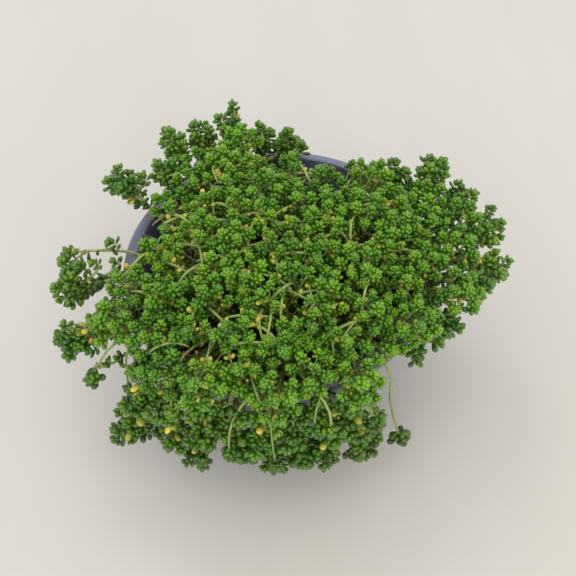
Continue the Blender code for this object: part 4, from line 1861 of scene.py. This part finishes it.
@dataclass(frozen=True)
class Lamp:
    """A soft square light."""

    name: str
    place: Triple
    size: float
    power: float
    colour: Triple

    def build(self, target: Vector) -> None:
        """Adds the light, which looks at the target."""
        data = bpy.data.lights.new(self.name, "AREA")
        data.size = self.size
        data.energy = self.power
        data.color = self.colour
        lamp = show(self.name, data)
        lamp.location = self.place
        lamp.rotation_euler = (target - lamp.location).to_track_quat("-Z", "Y").to_euler()


@dataclass
class Studio:
    """A plain pale floor under a soft sky, with lights behind, above and in front."""

    floor_size: float = 4.0
    sky: Triple = (0.97, 0.985, 1.0)
    sky_low: float = 1.15
    sky_high: float = 1.0
    lamps: tuple[Lamp, ...] = (
        Lamp("window", (-0.25, 0.75, 1.15), 0.35, 2.0, (0.97, 0.98, 1.0)),
        Lamp("ceiling", (0.2, -0.15, 1.3), 0.9, 1.8, (1.0, 0.98, 0.95)),
        Lamp("room", (0.1, -1.3, 0.8), 1.2, 7.0, (1.0, 0.985, 0.96)),
    )

    def build(self, material: bpy.types.Material, target: Vector) -> None:
        """Adds the floor, the sky and the lights, which look at the target."""
        bm = bmesh.new()
        bmesh.ops.create_grid(bm, x_segments=1, y_segments=1, size=self.floor_size / 2)
        mesh_piece("floor", bm, material)
        world = bpy.data.worlds.new("soft_sky")
        world.use_nodes = True
        wires = Wiring(world.node_tree)
        direction = wires.node("ShaderNodeTexCoord").outputs["Generated"]
        up = wires.node("ShaderNodeSeparateXYZ", {0: direction}).outputs[2]
        glow = wires.spread(up, 0.0, 0.9, self.sky_low, self.sky_high)
        wires.feed(world.node_tree.nodes["Background"], {"Color": (*self.sky, 1), "Strength": glow})
        bpy.context.scene.world = world
        for lamp in self.lamps:
            lamp.build(target)


def build_foliage(effects: Effects, pot: PotSizes) -> int:
    """Builds every spray's and shoot's foliage, and gives its number of triangles."""
    growth = Growth(pot)
    trailing = growth.trailing()
    stalks = growth.mat(trailing) + trailing
    clearings = Clearings()
    tips = TipPlan(growth, clearings).plan(stalks)
    heads = [head for stalk in stalks for head in stalk.heads]
    stem = StemFinish().material(effects)
    skins = {Habit.MAT: FRESH_LEAF.material(effects), Habit.TRAILING: DEEP_LEAF.material(effects)}
    foliage = Foliage(Shapes(), pot, clearings)
    triangles = 0
    for stalk in stalks:
        materials = (skins[stalk.habit], stem)
        piece = foliage.build(stalk, tips[stalk.node], heads, growth.trail_pitch, materials)
        count = sum(len(face.vertices) - 2 for face in piece.data.polygons)
        triangles += count
        LOG.info("%s: %d tips, %d triangles", piece.name, len(tips[stalk.node]), count)
    return triangles


def main() -> None:
    """Builds the scene."""
    logging.basicConfig(level=logging.INFO, format="%(message)s")
    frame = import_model()
    LOG.info("packed nodes: %d", len(frame["nodes"]))
    bpy.context.scene.view_settings.view_transform = "Standard"
    pot = PotSizes()
    effects = Effects()
    soil = Soil(pot)
    made = [
        Pan(pot).build(PlasticFinish().material(effects, pot)),
        soil.bed(SoilFinish("Potting mix").material(effects)),
        soil.scatter("soil_crumbs", soil.crumbs, SoilFinish("Soil crumbs").material(effects)),
        soil.scatter("bark_chips", soil.chips, SoilFinish("Bark chips", bark_share=0.75).material(effects)),
    ]
    for piece in made:
        LOG.info("%s: %d faces", piece.name, len(piece.data.polygons))
    LOG.info("foliage: %d triangles", build_foliage(effects, pot))
    middle_of_lip = UP * pot.height
    Studio().build(FloorFinish().material(), middle_of_lip)
    Viewpoint().build(middle_of_lip)
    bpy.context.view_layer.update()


if __name__ == "__main__":
    main()
